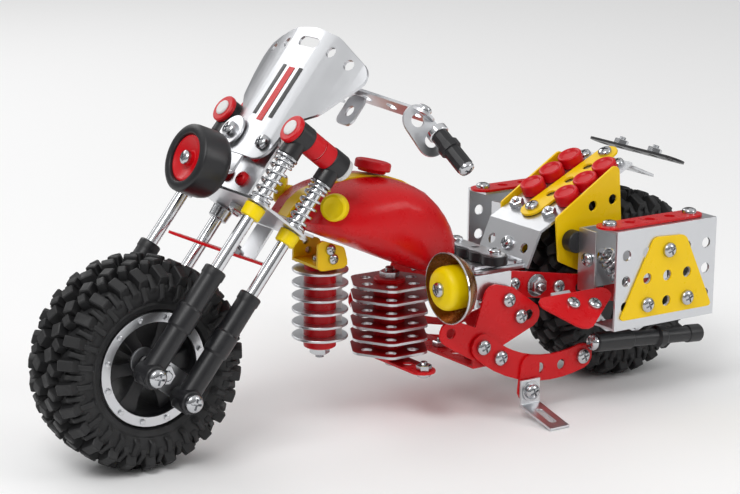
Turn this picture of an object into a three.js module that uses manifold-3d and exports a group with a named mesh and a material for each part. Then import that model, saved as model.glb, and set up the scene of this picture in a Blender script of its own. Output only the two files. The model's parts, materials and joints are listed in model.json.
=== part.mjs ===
// Construction-kit chopper motorcycle of perforated metal strips, plates and plastic parts.
// Millimetres. +X points forward, +Y to the rider's left, +Z up.
// The origin is on the ground, midway between the two axles.
import * as THREE from 'three';
import { mergeVertices } from 'three/addons/utils/BufferGeometryUtils.js';
import Module from 'manifold-3d';

const wasm = await Module();
wasm.setup();

// Kit standards
const PITCH = 10;            // hole spacing of every strip and plate
const HOLE_R = 2.1;          // hole radius
const STRIP_W = 10;          // width of a strip
const SHEET = 1;             // sheet thickness
const GAP = 0.3;             // air between neighbouring pieces
const RUN_GAP = 0.1;         // radial air in a turning fit
const HOLE_SIDES = 10;       // sides of a drilled hole
const ROUND_SIDES = 14;      // sides of a rounded corner's full circle
const RUN_SIDES = 16;        // sides of a turning pin and its eye

// Wheels and axles
const WHEELBASE = 215;
const WHEEL_R = 37.3;
const TYRE_W = 31;
const TYRE_SHOULDER = 7;     // radius between tread and side wall
const RIM_R = 20.5;
const RIM_W = 23;
const RIM_WALL = 2.2;
const HUB_R = 5;
const WEB_T = 3.5;
const RIM_WINDOWS = 6;
const RIM_WINDOW_R = 3.6;
const TYRE_TURN_SIDES = 32;
const RIM_TURN_SIDES = 16;
const AXLE_R = 1.9;
const AXLE_HEAD_R = 3.2;
const AXLE_HEAD_T = 2;

// Front fork, measured along the raked leg direction from the front axle
const RAKE = THREE.MathUtils.degToRad(38.5);
const LEG_SPREAD = 9;        // each leg before or behind the pair's middle
const LEG_SETBACK = -1.8;    // middle of the pair from the axle
const LEG_Y = 22.5;          // legs either side of the wheel
const LEG_R = 3.9;
const LEG_FOOT = -7.5;
const LEG_TOP = 39.5;
const LEG_COLLAR_R = 4.5;
const LEG_COLLAR_Z = [15, 24];
const LEG_BOSS_R = 4.2;     // boss across the foot of each leg
const LEG_BOSS_Z = -3;
const LEG_BOSS_Y = [-4.3, 5.1];      // towards the wheel and away from it
const ROD_R = 2.25;
const STOP_R = 3.9;          // yellow stop collar under the yoke
const STOP_H = 4.8;
const YOKE_RISE = 28.4;      // yoke plate above the top of the tyre
const SPRING_R = 4;
const SPRING_LEN = 18.4;
const CROWN_R = 4.6;
const CROWN_STUB_H = 5;
const CROWN_OVERHANG = [6.2, 4.6];   // barrel past the rear and the front leg
const FORK_TRAVEL = 6;

// Steering head
const YOKE_EDGE = 5.5;       // plate's edge outside the legs' middles
const PIN_R = 2;
const NECK_W = 12;
const NECK_REACH = 13;       // flat part of the neck behind the pin
const NECK_LIP = 2.5;        // neck in front of the pin
const HEAD_PLATE_X = 7.3;    // head plate in front of the pin
const HEAD_PLATE_H = 24;
const HEAD_PLATE_Y = 13;
const SHIELD_X = 12.8;       // windshield centre line in front of the pin
const SHIELD_FOOT = 13.5;    // its foot above the yoke
const SHIELD_H = 53.5;
const SHIELD_TOP_Y = 32.5;
const SHIELD_BEND_R = 75;
const SHIELD_CUT = [-18, 6]; // depth of the cuts through the rolled sheet
const SHIELD_LOW = [[7.5, 7, 7], [9.5, 18, 6.5]];    // discs [y, z, radius] that its outline wraps
const SHIELD_HIGH = [
  [9.5, 20, 6.5], [19, 27.5, 6.5], [SHIELD_TOP_Y - 6, SHIELD_H - 12.5, 6],
  [12, SHIELD_H - 9, 8], [0, SHIELD_H - 8, 8],
];
const SHIELD_TOP_HOLES = [[14, SHIELD_H - 7.5], [24, SHIELD_H - 9.5]];
const SHIELD_FOOT_HOLE = [PITCH, 6.5];
const SHIELD_SLOT = [4, SHIELD_H - 6];
const LAMP_R = 12.3;
const LAMP_LEN = 13;
const LAMP_PITCH = THREE.MathUtils.degToRad(22);     // lamp's axis above level
const LAMP_AT = [18, 4.4];   // lamp back in front of the pin and above the yoke
const LAMP_RECESS = [0.68, 3];       // share of its radius, and depth
const GRIP_R = 3.2;
const RISER_DROP = 2.8;      // riser's seat under the handlebar strips
const RISER_FOOT_Z = 12;
const RISER_BEND_Z = 36;
const RISER_HOLE_Y = 3.4;
const BAR_IN = [-5.2, 5.3, 54.5];    // inner and outer hole of a handlebar strip, from the pin's foot
const BAR_OUT = [-18, 39, 57.5];
const GRIP_END = [-30.5, 60, 47.3];

const YOKE_Y = LEG_Y + YOKE_EDGE;
const YOKE_Z = WHEEL_R + YOKE_RISE;
const AXLE_Z = WHEEL_R;
const SPRING_Z = YOKE_Z + SHEET + GAP;
const CROWN_Z = SPRING_Z + SPRING_LEN + GAP;

// Frame, measured from the level of the axles and from the front of the rear tyre
const TANK_OUTLINE = [
  [116.7, 44.7], [109.7, 51.6], [95.7, 55.2], [78.7, 55.4], [63.7, 50.2], [53.7, 39.7],
  [48.7, 27.7], [51.7, 20.2], [61.7, 18.4], [77.7, 24.7], [97.7, 33.7], [113.2, 40.7],
];
const TANK_MIDDLE = [76, 38];
const TANK_CORE_Y = 3;
const TANK_BULGE = 19;
const TANK_WALL = 1.1;
const TANK_SIDES = 28;
const TANK_SEAM = 0.8;       // core stands this far proud of the shells along the top
const TANK_SEAM_Z = 43;      // and this far inside them below this height
const TANK_REACH = 30;       // rim's usual distance from the middle
const CAP_AT = [79, 56.4];
const CAP_TILT = THREE.MathUtils.degToRad(13);
const CAP_R = 6.8;
const CAP_H = 5;
const FRONT_CYL_X = 101.2;
const FRONT_CYL_Z = [-6.5, 25];
const REAR_CYL_X = 70.2;
const REAR_CYL_Z = [-15.6, 15.5];
const CYL_R = 6;
const FIN_R = 10.4;
const FIN_T = 1;
const FIN_PITCH = 5;
const FIN_COUNT = 6;
const HEX_FIN_R = 16.3;
const BELLY_SETBACK = 2;     // belly strip behind the rear cylinder's axis
const BRACE_X = [95, 108];   // engine bracket
const BRACE_Y = 8.5;
const BRACE_Z = 25.3;
const BRACE_CHEEK = [[97.4, 26.7, 2.4], [105.6, 26.7, 2.4], [105.6, 33.3, 2.2], [98.2, 30.5, 2.2]];
const BRACE_HOLES = [[101.4, 28.4], [102.6, 32]];
const BRACE_HOLE_R = 1.4;
const CROSS_X = 46;
const CRANK_Y = 30;          // outer face of the crank plates
const CRANK_TOP = [37.3, 8.8];
const CRANK_HIGH = [43.5, 10.5];
const CRANK_MID = [31.5, 1.7];
const CRANK_BACK = [27, 1.5];
const CRANK_NOSE = [63.4, -0.4];
const CRANK_FOOT = [49.6, -7.3];
const ARC_END = [1.7, -18.2];
const ARC_SAG = 6.2;
const ARC_HOLES = [0, 0.2, 0.78, 1];     // shares of its length
const ARC_SLOT = [0.4, 0.55];
const STAY_Y = 21;           // outer face of the chain stays
const STAY_END = [65.3, 11.6];       // last hole, from the rear axle
const SIDE_Y = 17.4;         // outer face of the rack's yellow side plates
const PANEL_Y = 46.2;        // outer face of the panniers
const PANEL_X = [-13.7, 36.3];   // pannier, from the rear axle
const PANEL_Z = [-5.6, 32.9];
const PANEL_FLANGE = 12;
const PANEL_TOP_ROW = 9.6;   // top row of holes below the panel's upper edge
const BRACKET_Z = [5.5, 30];
const RACK_TILT = THREE.MathUtils.degToRad(26);
const RACK_LIP = 15;
const LIP_BEND = THREE.MathUtils.degToRad(40);
const RACK_LEN = 50;
const RACK_AT = [11.2, 28.7];
const SEAT_AT = [30.2, 0, 17.8];
const SEAT_T = 3.4;
const SEAT_LOBE_R = 5;
const SEAT_LOBE_PITCH = 8;
const SEAT_WAIST = 3.6;      // half width between two lobes
const KNOB_R = 4.9;
const KNOB_H = 4.6;
const KNOB_Y = 10.4;
const KNOB_X = [-20, -30.3, -40.6];
const KNOB_RAIL = [2, 1.2];  // half width and height of the rail under a row
const DISH_OUT = 12.1;       // dish's axis outside the tank's widest
const DISH_AT = [59.5, TANK_CORE_Y + GAP + TANK_BULGE + DISH_OUT, 18.6];
const BOARD_Y = 35.8;        // footboard's inner holes from the middle
const BOARD_TILT = 0.6;
const EXHAUST_Y = 36;
const EXHAUST_R = 3.1;
const EXHAUST_FALL = 0.08;    // slope down to the rear
const EXHAUST_AT = [37.3, -11.9];
const STAND_Y = 33.9;        // outer face of the kickstand's upright
const STAND_PIVOT = [28.5, 10.3 - AXLE_Z];       // 10.3 above the ground
const STAND_TOP = 4.5;       // upright's end above the pivot
const STAND_BEND = 4.8;      // its bend below the pivot
const STAND_SLOT = [6, 13];  // from the upright
const STAND_SLOT_R = 1.6;
const FOOT_CLEAR = 0.1;      // foot above the ground
const LUG_R = 4.5;
const LUG_TOP = [27.5, -18];         // on the arc strip
const LUG_STEP = 0.9;        // lug outside the arc strip
const STAND_SPLAY = 18;

// Materials
const paint = (color) => new THREE.MeshStandardMaterial({ color, roughness: 0.3, metalness: 0.1 });
const metal = (color, roughness) => new THREE.MeshStandardMaterial({ color, roughness, metalness: 1 });
const plastic = (color, roughness) => new THREE.MeshStandardMaterial({ color, roughness, metalness: 0 });
const RED = paint(0xc8101c);
const YELLOW = paint(0xf2c40c);
const STEEL = metal(0xd6d8da, 0.28);
const CHROME = metal(0xe8eaec, 0.12);
const BRASS = metal(0xb07c28, 0.3);
const RED_PLASTIC = plastic(0xc4101c, 0.35);
const BLACK_PLASTIC = plastic(0x222224, 0.5);
const RUBBER = plastic(0x17181a, 0.85);

// Outline helpers: [x, y] lists, counter-clockwise
function circle(x, y, radius, sides = HOLE_SIDES) {
  const points = [];
  for (let i = 0; i < sides; i += 1) {
    const angle = ((i + 0.5) / sides) * Math.PI * 2;
    points.push([x + radius * Math.cos(angle), y + radius * Math.sin(angle)]);
  }
  return points;
}

// Tight outline around a set of discs [x, y, radius], as a plate's rounded corners are
function discHull(discs, sides = ROUND_SIDES) {
  const cloud = discs.flatMap(([x, y, radius]) => circle(x, y, radius, sides));
  cloud.sort((a, b) => a[0] - b[0] || a[1] - b[1]);
  const cross = (o, a, b) => (a[0] - o[0]) * (b[1] - o[1]) - (a[1] - o[1]) * (b[0] - o[0]);
  const chain = (points) => {
    const kept = [];
    for (const point of points) {
      while (kept.length > 1 && cross(kept.at(-2), kept.at(-1), point) <= 1e-6) {
        kept.pop();
      }
      kept.push(point);
    }
    return kept.slice(0, -1);
  };
  return [...chain(cloud), ...chain([...cloud].reverse())];
}

const rectangle = (x0, y0, x1, y1) => [[x0, y0], [x1, y0], [x1, y1], [x0, y1]];

// Flat sheet in the local XY plane, from z = 0 to its thickness
function sheet(outline, holes = [], thickness = SHEET) {
  const shape = new THREE.Shape(outline.map(([x, y]) => new THREE.Vector2(x, y)));
  shape.holes = holes.map((hole) => new THREE.Path(hole.map(([x, y]) => new THREE.Vector2(x, y))));
  return new THREE.ExtrudeGeometry(shape, { depth: thickness, bevelEnabled: false });
}

// Strip bent along a line of [x, y] points, of even thickness on the line's right, width along z
function bentStrip(line, width, thickness = SHEET) {
  const points = line.map(([x, y]) => new THREE.Vector2(x, y));
  const normals = points.slice(1).map((point, i) => {
    const along = point.clone().sub(points[i]).normalize();
    return new THREE.Vector2(along.y, -along.x);
  });
  const inner = points.map((point, i) => {
    const before = normals[Math.max(i - 1, 0)];
    const after = normals[Math.min(i, normals.length - 1)];
    const mitre = before.clone().add(after).normalize();
    return point.clone().addScaledVector(mitre, thickness / mitre.dot(after));
  });
  const outline = [...points, ...inner.reverse()].map((point) => [point.x, point.y]);
  return sheet(outline, [], width).translate(0, 0, -width / 2);
}

// Turned piece about its own Y axis from [radius, y] points that start and end on the axis
function turned(profile, sides = ROUND_SIDES) {
  return new THREE.LatheGeometry(profile.map(([r, y]) => new THREE.Vector2(r, y)), sides);
}

// Turned piece built up of [radius, y0, y1] steps
function stepped(steps, sides = ROUND_SIDES) {
  const profile = [[0, steps[0][1]]];
  for (const [radius, low, high] of steps) {
    profile.push([radius, low], [radius, high]);
  }
  profile.push([0, steps.at(-1)[2]]);
  return turned(profile, sides);
}

function ring(inner, outer, low, high, sides = ROUND_SIDES) {
  return turned([[inner, low], [outer, low], [outer, high], [inner, high], [inner, low]], sides);
}

// Solid forms for joining and cutting
function solid(geometry) {
  const bare = geometry.clone();
  bare.deleteAttribute('normal');
  bare.deleteAttribute('uv');
  const merged = mergeVertices(bare, 1e-4);
  return new wasm.Manifold(new wasm.Mesh({
    numProp: 3,
    vertProperties: new Float32Array(merged.attributes.position.array),
    triVerts: new Uint32Array(merged.index.array),
  }));
}

function surface(manifold) {
  const mesh = manifold.getMesh();
  const geometry = new THREE.BufferGeometry();
  geometry.setAttribute('position', new THREE.BufferAttribute(mesh.vertProperties, 3));
  geometry.setIndex(new THREE.BufferAttribute(mesh.triVerts, 1));
  return geometry;
}

const join = (...pieces) => surface(pieces.map(solid).reduce((sum, piece) => sum.add(piece)));

function cut(body, ...tools) {
  return surface(tools.map(solid).reduce((rest, tool) => rest.subtract(tool), solid(body)));
}

// The same form on the other side of the middle plane
const toSide = (geometry, side) => (side > 0 ? geometry : surface(solid(geometry).mirror([0, 1, 0])));

// Cylinder for drilling or a pin, standing along Z, X or Y
const pinZ = (radius, x, y, z0, z1, sides = HOLE_SIDES) => new THREE.CylinderGeometry(radius, radius, z1 - z0, sides)
  .rotateX(Math.PI / 2).translate(x, y, (z0 + z1) / 2);
const pinX = (radius, y, z, x0, x1, sides = HOLE_SIDES) => new THREE.CylinderGeometry(radius, radius, x1 - x0, sides)
  .rotateZ(Math.PI / 2).translate((x0 + x1) / 2, y, z);
const pinY = (radius, x, z, y0, y1, sides = HOLE_SIDES) => new THREE.CylinderGeometry(radius, radius, y1 - y0, sides)
  .translate(x, (y0 + y1) / 2, z);
const block = (x0, x1, y0, y1, z0, z1) => new THREE.BoxGeometry(x1 - x0, y1 - y0, z1 - z0)
  .translate((x0 + x1) / 2, (y0 + y1) / 2, (z0 + z1) / 2);

// Turns that stand a local piece up: local XY onto world XZ or YZ
const UPRIGHT_XZ = [Math.PI / 2, 0, 0];
const facing = (x, y, z) => new THREE.Euler().setFromRotationMatrix(new THREE.Matrix4().makeBasis(x, y, z));
const UPRIGHT_YZ = facing(
  new THREE.Vector3(0, 1, 0), new THREE.Vector3(0, 0, 1), new THREE.Vector3(1, 0, 0),
).toArray().slice(0, 3);

const bike = new THREE.Group();
bike.position.x = -WHEELBASE / 2;

const frame = new THREE.Group();         // tank, engine, seat and rack
frame.position.set(WHEEL_R, 0, AXLE_Z);
const rear = new THREE.Group();          // what hangs at the rear axle
rear.position.set(0, 0, AXLE_Z);
const front = new THREE.Group();         // fork and steering, raked
front.position.set(WHEELBASE, 0, AXLE_Z);
front.rotation.y = -RAKE;
const head = new THREE.Group();          // steering head, on the pin, at the top of the yoke plate
head.position.set(LEG_SETBACK, 0, YOKE_Z + SHEET);
front.add(head);
bike.add(frame, rear, front);

function piece(name, geometry, material, parent, position = [0, 0, 0], rotation = [0, 0, 0]) {
  const mesh = new THREE.Mesh(geometry, material);
  mesh.name = name;
  mesh.position.set(...position);
  mesh.rotation.set(...rotation);
  parent.add(mesh);
}

// A plate standing in the XZ plane with its outer face at the given distance from the middle
function sidePlate(name, side, outline, holes, material, parent, outerY, thickness = SHEET) {
  const y = side > 0 ? outerY : thickness - outerY;
  piece(name, sheet(outline, holes, thickness), material, parent, [0, y, 0], UPRIGHT_XZ);
}

const SIDES = [['left', 1], ['right', -1]];
const alongLine = (from, to, count) => Array.from({ length: count }, (_, i) => [
  from[0] + ((to[0] - from[0]) * i) / (count - 1),
  from[1] + ((to[1] - from[1]) * i) / (count - 1),
]);

// Wheels: chunky tyre on a windowed rim that runs on the axle
function addWheel(name, parent) {
  const half = TYRE_W / 2;
  const seat = RIM_R + GAP;
  const tyre = turned([
    [seat, -half + 3], [WHEEL_R - TYRE_SHOULDER - 4, -half], [WHEEL_R - TYRE_SHOULDER, -half],
    [WHEEL_R - 2, -half + 3], [WHEEL_R, -half + TYRE_SHOULDER],
    [WHEEL_R, half - TYRE_SHOULDER], [WHEEL_R - 2, half - 3], [WHEEL_R - TYRE_SHOULDER, half],
    [WHEEL_R - TYRE_SHOULDER - 4, half], [seat, half - 3], [seat, -half + 3],
  ], TYRE_TURN_SIDES);
  piece(`${name}_tyre`, tyre, RUBBER, parent);
  const rimHalf = RIM_W / 2;
  const bore = AXLE_R + RUN_GAP;
  const blank = turned([
    [bore, -rimHalf], [HUB_R, -rimHalf], [HUB_R, -WEB_T / 2], [RIM_R - RIM_WALL, -WEB_T / 2],
    [RIM_R - RIM_WALL, -rimHalf], [RIM_R, -rimHalf], [RIM_R, rimHalf], [RIM_R - RIM_WALL, rimHalf],
    [RIM_R - RIM_WALL, WEB_T / 2], [HUB_R, WEB_T / 2], [HUB_R, rimHalf], [bore, rimHalf], [bore, -rimHalf],
  ], RIM_TURN_SIDES);
  const windows = Array.from({ length: RIM_WINDOWS }, (_, i) => {
    const angle = (i / RIM_WINDOWS) * Math.PI * 2;
    const middle = (HUB_R + RIM_R - RIM_WALL) / 2;
    return pinY(RIM_WINDOW_R, middle * Math.cos(angle), middle * Math.sin(angle), -WEB_T, WEB_T, 6);
  });
  piece(`${name}_rim`, cut(blank, ...windows), BLACK_PLASTIC, parent);
}

function addAxle(name, parent, reach) {
  piece(name, stepped([
    [AXLE_HEAD_R, -reach - AXLE_HEAD_T, -reach], [AXLE_R, -reach, reach], [AXLE_HEAD_R, reach, reach + AXLE_HEAD_T],
  ], 12), STEEL, parent);
}

addWheel('rear', rear);
addAxle('rear_axle', rear, STAY_Y + GAP);
addWheel('front', front);
addAxle('front_axle', front, TYRE_W / 2 + 2.4);

// Fork legs: black lower tubes, chrome rods through the yoke, stop collars, springs and crowns
const legX = { front: LEG_SETBACK + LEG_SPREAD, rear: LEG_SETBACK - LEG_SPREAD };
for (const [side, s] of SIDES) {
  for (const [end, x] of Object.entries(legX)) {
    const leg = stepped([
      [LEG_R, LEG_FOOT, LEG_COLLAR_Z[0]], [LEG_COLLAR_R, ...LEG_COLLAR_Z], [LEG_R, LEG_COLLAR_Z[1], LEG_TOP],
      [ROD_R, LEG_TOP, YOKE_Z - GAP - STOP_H], [STOP_R, YOKE_Z - GAP - STOP_H, YOKE_Z - GAP],
      [ROD_R, YOKE_Z - GAP, CROWN_Z - GAP],
    ], 10);
    const boss = pinY(LEG_BOSS_R, 0, LEG_BOSS_Z, ...LEG_BOSS_Y, 12);
    const whole = toSide(join(leg.rotateX(Math.PI / 2), boss), s);
    piece(`fork_leg_${end}_${side}`, whole, BLACK_PLASTIC, front, [x, s * LEG_Y, 0]);
    const spring = ring(ROD_R + GAP, SPRING_R, 0, SPRING_LEN, 10);
    piece(`fork_spring_${end}_${side}`, spring, CHROME, front, [x, s * LEG_Y, SPRING_Z], UPRIGHT_XZ);
  }
  const barrelZ = CROWN_STUB_H + CROWN_R - 1;
  const crown = join(
    pinX(CROWN_R, 0, barrelZ, legX.rear - CROWN_OVERHANG[0], legX.front + CROWN_OVERHANG[1], 12),
    pinZ(CROWN_R - 0.6, legX.rear, 0, 0, barrelZ),
    pinZ(CROWN_R - 0.6, legX.front, 0, 0, barrelZ),
  );
  piece(`fork_crown_${side}`, crown, BLACK_PLASTIC, front, [0, s * LEG_Y, CROWN_Z]);
}

// Yoke plate, drilled for the rods and the steering pin
{
  const rods = [LEG_SPREAD, -LEG_SPREAD].flatMap((x) => [LEG_Y, -LEG_Y].map((y) => circle(x, y, ROD_R + GAP)));
  const outline = discHull([LEG_SPREAD, -LEG_SPREAD - 1].flatMap((x) => [
    [x, YOKE_Y - 5, 5], [x, 5 - YOKE_Y, 5],
  ]));
  const yoke = sheet(outline, [...rods, circle(0, 0, PIN_R + RUN_GAP, RUN_SIDES)]);
  piece('yoke_plate', yoke, STEEL, head, [0, 0, -SHEET]);
}

// Head plate: stands on the yoke in front of the pin, with holes for the shield's bolts
{
  const y = HEAD_PLATE_Y;
  const top = HEAD_PLATE_H - 4;
  const outline = discHull([[y - 4, top, 4], [4 - y, top, 4], [y - 2, 2, 2], [2 - y, 2, 2]]);
  const holes = [[-PITCH / 2, 6], [PITCH / 2, 6], [-PITCH / 2, 16], [PITCH / 2, 16]];
  const plate = sheet(outline, holes.map(([x, z]) => circle(x, z, HOLE_R)));
  piece('head_plate', plate, STEEL, head, [HEAD_PLATE_X, 0, GAP], UPRIGHT_YZ);
}

// Riser: bent strip from behind the head plate up to the handlebars' inner ends
{
  const back = HEAD_PLATE_X - GAP;
  const seatZ = BAR_IN[2] - RISER_DROP;
  const line = [
    [BAR_IN[0] - STRIP_W / 2, seatZ], [BAR_IN[0] + STRIP_W / 2, seatZ], [back, RISER_BEND_Z], [back, RISER_FOOT_Z],
  ];
  const strip = bentStrip(line, NECK_W).rotateX(Math.PI / 2);
  const holes = [-RISER_HOLE_Y, RISER_HOLE_Y].map((y) => pinZ(HOLE_R, BAR_IN[0], y, seatZ - 3, seatZ + 3));
  piece('head_riser', cut(strip, ...holes), STEEL, head);
}

// Windshield: fan-shaped sheet rolled about an upright axis, with a row of holes and a slot at its top
{
  const roll = [];
  const sweep = Math.asin((SHIELD_TOP_Y + 2) / SHIELD_BEND_R);
  for (let i = -6; i <= 6; i += 1) {
    const angle = (i / 6) * sweep;
    roll.push([SHIELD_BEND_R * (Math.cos(angle) - 1), SHIELD_BEND_R * Math.sin(angle)]);
  }
  const rolled = bentStrip(roll.reverse(), SHIELD_H).translate(0, 0, SHIELD_H / 2);
  const bothSides = (spots) => spots.flatMap(([y, ...rest]) => [[y, ...rest], [-y, ...rest]]);
  const through = (outline) => sheet(outline, [], SHIELD_CUT[1] - SHIELD_CUT[0])
    .rotateX(Math.PI / 2).rotateZ(Math.PI / 2).translate(SHIELD_CUT[0], 0, 0);
  const fan = join(through(discHull(bothSides(SHIELD_LOW), 20)), through(discHull(bothSides(SHIELD_HIGH), 20)));
  const spots = bothSides([...SHIELD_TOP_HOLES, SHIELD_FOOT_HOLE]);
  const drills = spots.map(([y, z]) => pinX(HOLE_R, y, z, ...SHIELD_CUT));
  const slot = through(discHull(bothSides([[...SHIELD_SLOT, HOLE_R]]), HOLE_SIDES));
  const blank = surface(solid(rolled).intersect(solid(fan)));
  piece('windshield', cut(blank, slot, ...drills), STEEL, head, [SHIELD_X, 0, SHIELD_FOOT]);
}

// Headlight: drum with a recessed front, looking a little up
{
  const drum = stepped([[LAMP_R - 1.5, 0, 3], [LAMP_R, 3, LAMP_LEN]], 24);
  const [share, depth] = LAMP_RECESS;
  const recess = pinY(LAMP_R * share, 0, 0, LAMP_LEN - depth, LAMP_LEN + 1, 24);
  const lens = cut(drum, recess).rotateZ(-Math.PI / 2);
  piece('headlight', lens, BLACK_PLASTIC, head, [LAMP_AT[0], 0, LAMP_AT[1]], [0, RAKE - LAMP_PITCH, 0]);
}

// Handlebars: a perforated strip out to each side and a drooping grip on its end
for (const [side, s] of SIDES) {
  const start = new THREE.Vector3(BAR_IN[0], s * BAR_IN[1], BAR_IN[2]);
  const end = new THREE.Vector3(BAR_OUT[0], s * BAR_OUT[1], BAR_OUT[2]);
  const along = end.clone().sub(start);
  const length = along.length();
  along.normalize();
  const across = new THREE.Vector3(1, 0, 0).addScaledVector(along, -along.x).normalize();
  const up = along.clone().cross(across);
  const holes = alongLine([2, 0], [length - 2, 0], 4).map(([x, y]) => circle(x, y, HOLE_R));
  const strip = sheet(discHull([[0, 0, STRIP_W / 2], [length, 0, STRIP_W / 2]]), holes)
    .translate(0, 0, s > 0 ? 0 : -SHEET);
  piece(`handlebar_${side}`, strip, STEEL, head, start.toArray(), facing(along, across, up).toArray().slice(0, 3));
  const tip = new THREE.Vector3(GRIP_END[0], s * GRIP_END[1], GRIP_END[2]);
  const droop = tip.clone().sub(end).normalize();
  const root = end.clone().addScaledVector(droop, STRIP_W / 2 + GRIP_R);
  const reach = tip.distanceTo(root);
  const grip = stepped([
    [GRIP_R, 0, reach * 0.4], [GRIP_R + 0.8, reach * 0.4, reach * 0.55], [GRIP_R, reach * 0.55, reach],
  ], 10);
  const turn = new THREE.Euler().setFromQuaternion(
    new THREE.Quaternion().setFromUnitVectors(new THREE.Vector3(0, 1, 0), droop),
  );
  piece(`grip_${side}`, grip, BLACK_PLASTIC, head, root.toArray(), turn.toArray().slice(0, 3));
}

// Mudguard blade on its hanger under the yoke
{
  const hangX = -13.8;
  const bladeZ = -14.6;
  const hanger = block(hangX - 0.5, hangX + 0.5, -5, 5, bladeZ, -SHEET - GAP);
  const blade = sheet(discHull([[18, 0, 5], [-17, 0, 5], [10, 3, 7], [10, -3, 7], [-12, 3, 6], [-12, -3, 6]]),
    [circle(14, 0, HOLE_R), circle(4, 0, HOLE_R), circle(-6, 0, HOLE_R)])
    .rotateY(THREE.MathUtils.degToRad(15)).translate(-3.8, 0, bladeZ - 3.2);
  piece('mudguard', join(hanger, blade), RED, head);
}

// Tank: yellow core plate between two bulged shells
const tankCurve = new THREE.SplineCurve([...TANK_OUTLINE, TANK_OUTLINE[0]].map(([x, y]) => new THREE.Vector2(x, y)));
const tankRim = tankCurve.getSpacedPoints(TANK_SIDES).slice(0, -1);
const tankMiddle = new THREE.Vector2(...TANK_MIDDLE);
const tankPoint = (spot, share) => tankMiddle.clone().lerp(spot, share);
{
  const outline = tankRim.map((spot) => {
    const proud = spot.y > TANK_SEAM_Z ? TANK_SEAM : -TANK_SEAM;
    return tankPoint(spot, 1 + proud / TANK_REACH).toArray();
  });
  sidePlate('tank_core', 1, outline, [], YELLOW, frame, TANK_CORE_Y, TANK_CORE_Y * 2);
}

// Bowl whose rim follows the tank's outline: a turned dome with each section moved out to the rim.
// It bulges towards +Y on side 1 and towards -Y on side -1.
function tankBowl(side, share, bulge, floor = 0) {
  const steps = 5;
  const profile = Array.from({ length: steps }, (_, j) => {
    const angle = (j / steps) * (Math.PI / 2);
    return [Math.cos(angle) ** 0.6, Math.sin(angle) ** 0.75];
  });
  const points = [[0, 0], ...profile, [0, 1]];
  const rim = side > 0 ? [...tankRim].reverse() : tankRim;
  const bowl = turned(points, rim.length);
  const at = bowl.attributes.position;
  for (let i = 0; i <= rim.length; i += 1) {
    points.forEach(([r, y], j) => {
      const spot = tankPoint(rim[i % rim.length], r * share);
      at.setXYZ(i * points.length + j, spot.x, side * (y * bulge + floor), spot.y);
    });
  }
  return bowl;
}
for (const [side, s] of SIDES) {
  const shell = cut(tankBowl(s, 1, TANK_BULGE), tankBowl(s, 0.94, TANK_BULGE - TANK_WALL, -0.5));
  piece(`tank_shell_${side}`, shell, RED, frame, [0, s * (TANK_CORE_Y + GAP), 0]);
}
{
  const cap = stepped([[CAP_R - 1.5, 0, 1.2], [CAP_R, 1.2, CAP_H], [CAP_R - 2, CAP_H, CAP_H + 1]])
    .rotateX(Math.PI / 2).rotateY(-CAP_TILT);
  piece('filler_cap', cap, RED_PLASTIC, frame, [CAP_AT[0], 0, CAP_AT[1]]);
}

// Neck: bent strip from the steering pin back to the tank's nose, with the pin fixed in it
{
  front.updateMatrixWorld(true);
  const toFront = front.matrixWorld.clone().invert();
  const nose = new THREE.Vector3(WHEEL_R + 108, 0, AXLE_Z + 37.4).applyMatrix4(toFront);
  const line = [
    [LEG_SETBACK + PIN_R + NECK_LIP, YOKE_Z + SHEET * 2 + GAP],
    [LEG_SETBACK - NECK_REACH, YOKE_Z + SHEET * 2 + GAP],
    [nose.x, nose.z],
  ];
  const strip = bentStrip(line.reverse(), NECK_W).rotateX(Math.PI / 2);
  const pin = pinZ(PIN_R, LEG_SETBACK, 0, YOKE_Z - 3, YOKE_Z + SHEET * 2 + 3, RUN_SIDES);
  piece('neck_strip', join(strip, pin), STEEL, front);
}

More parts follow.
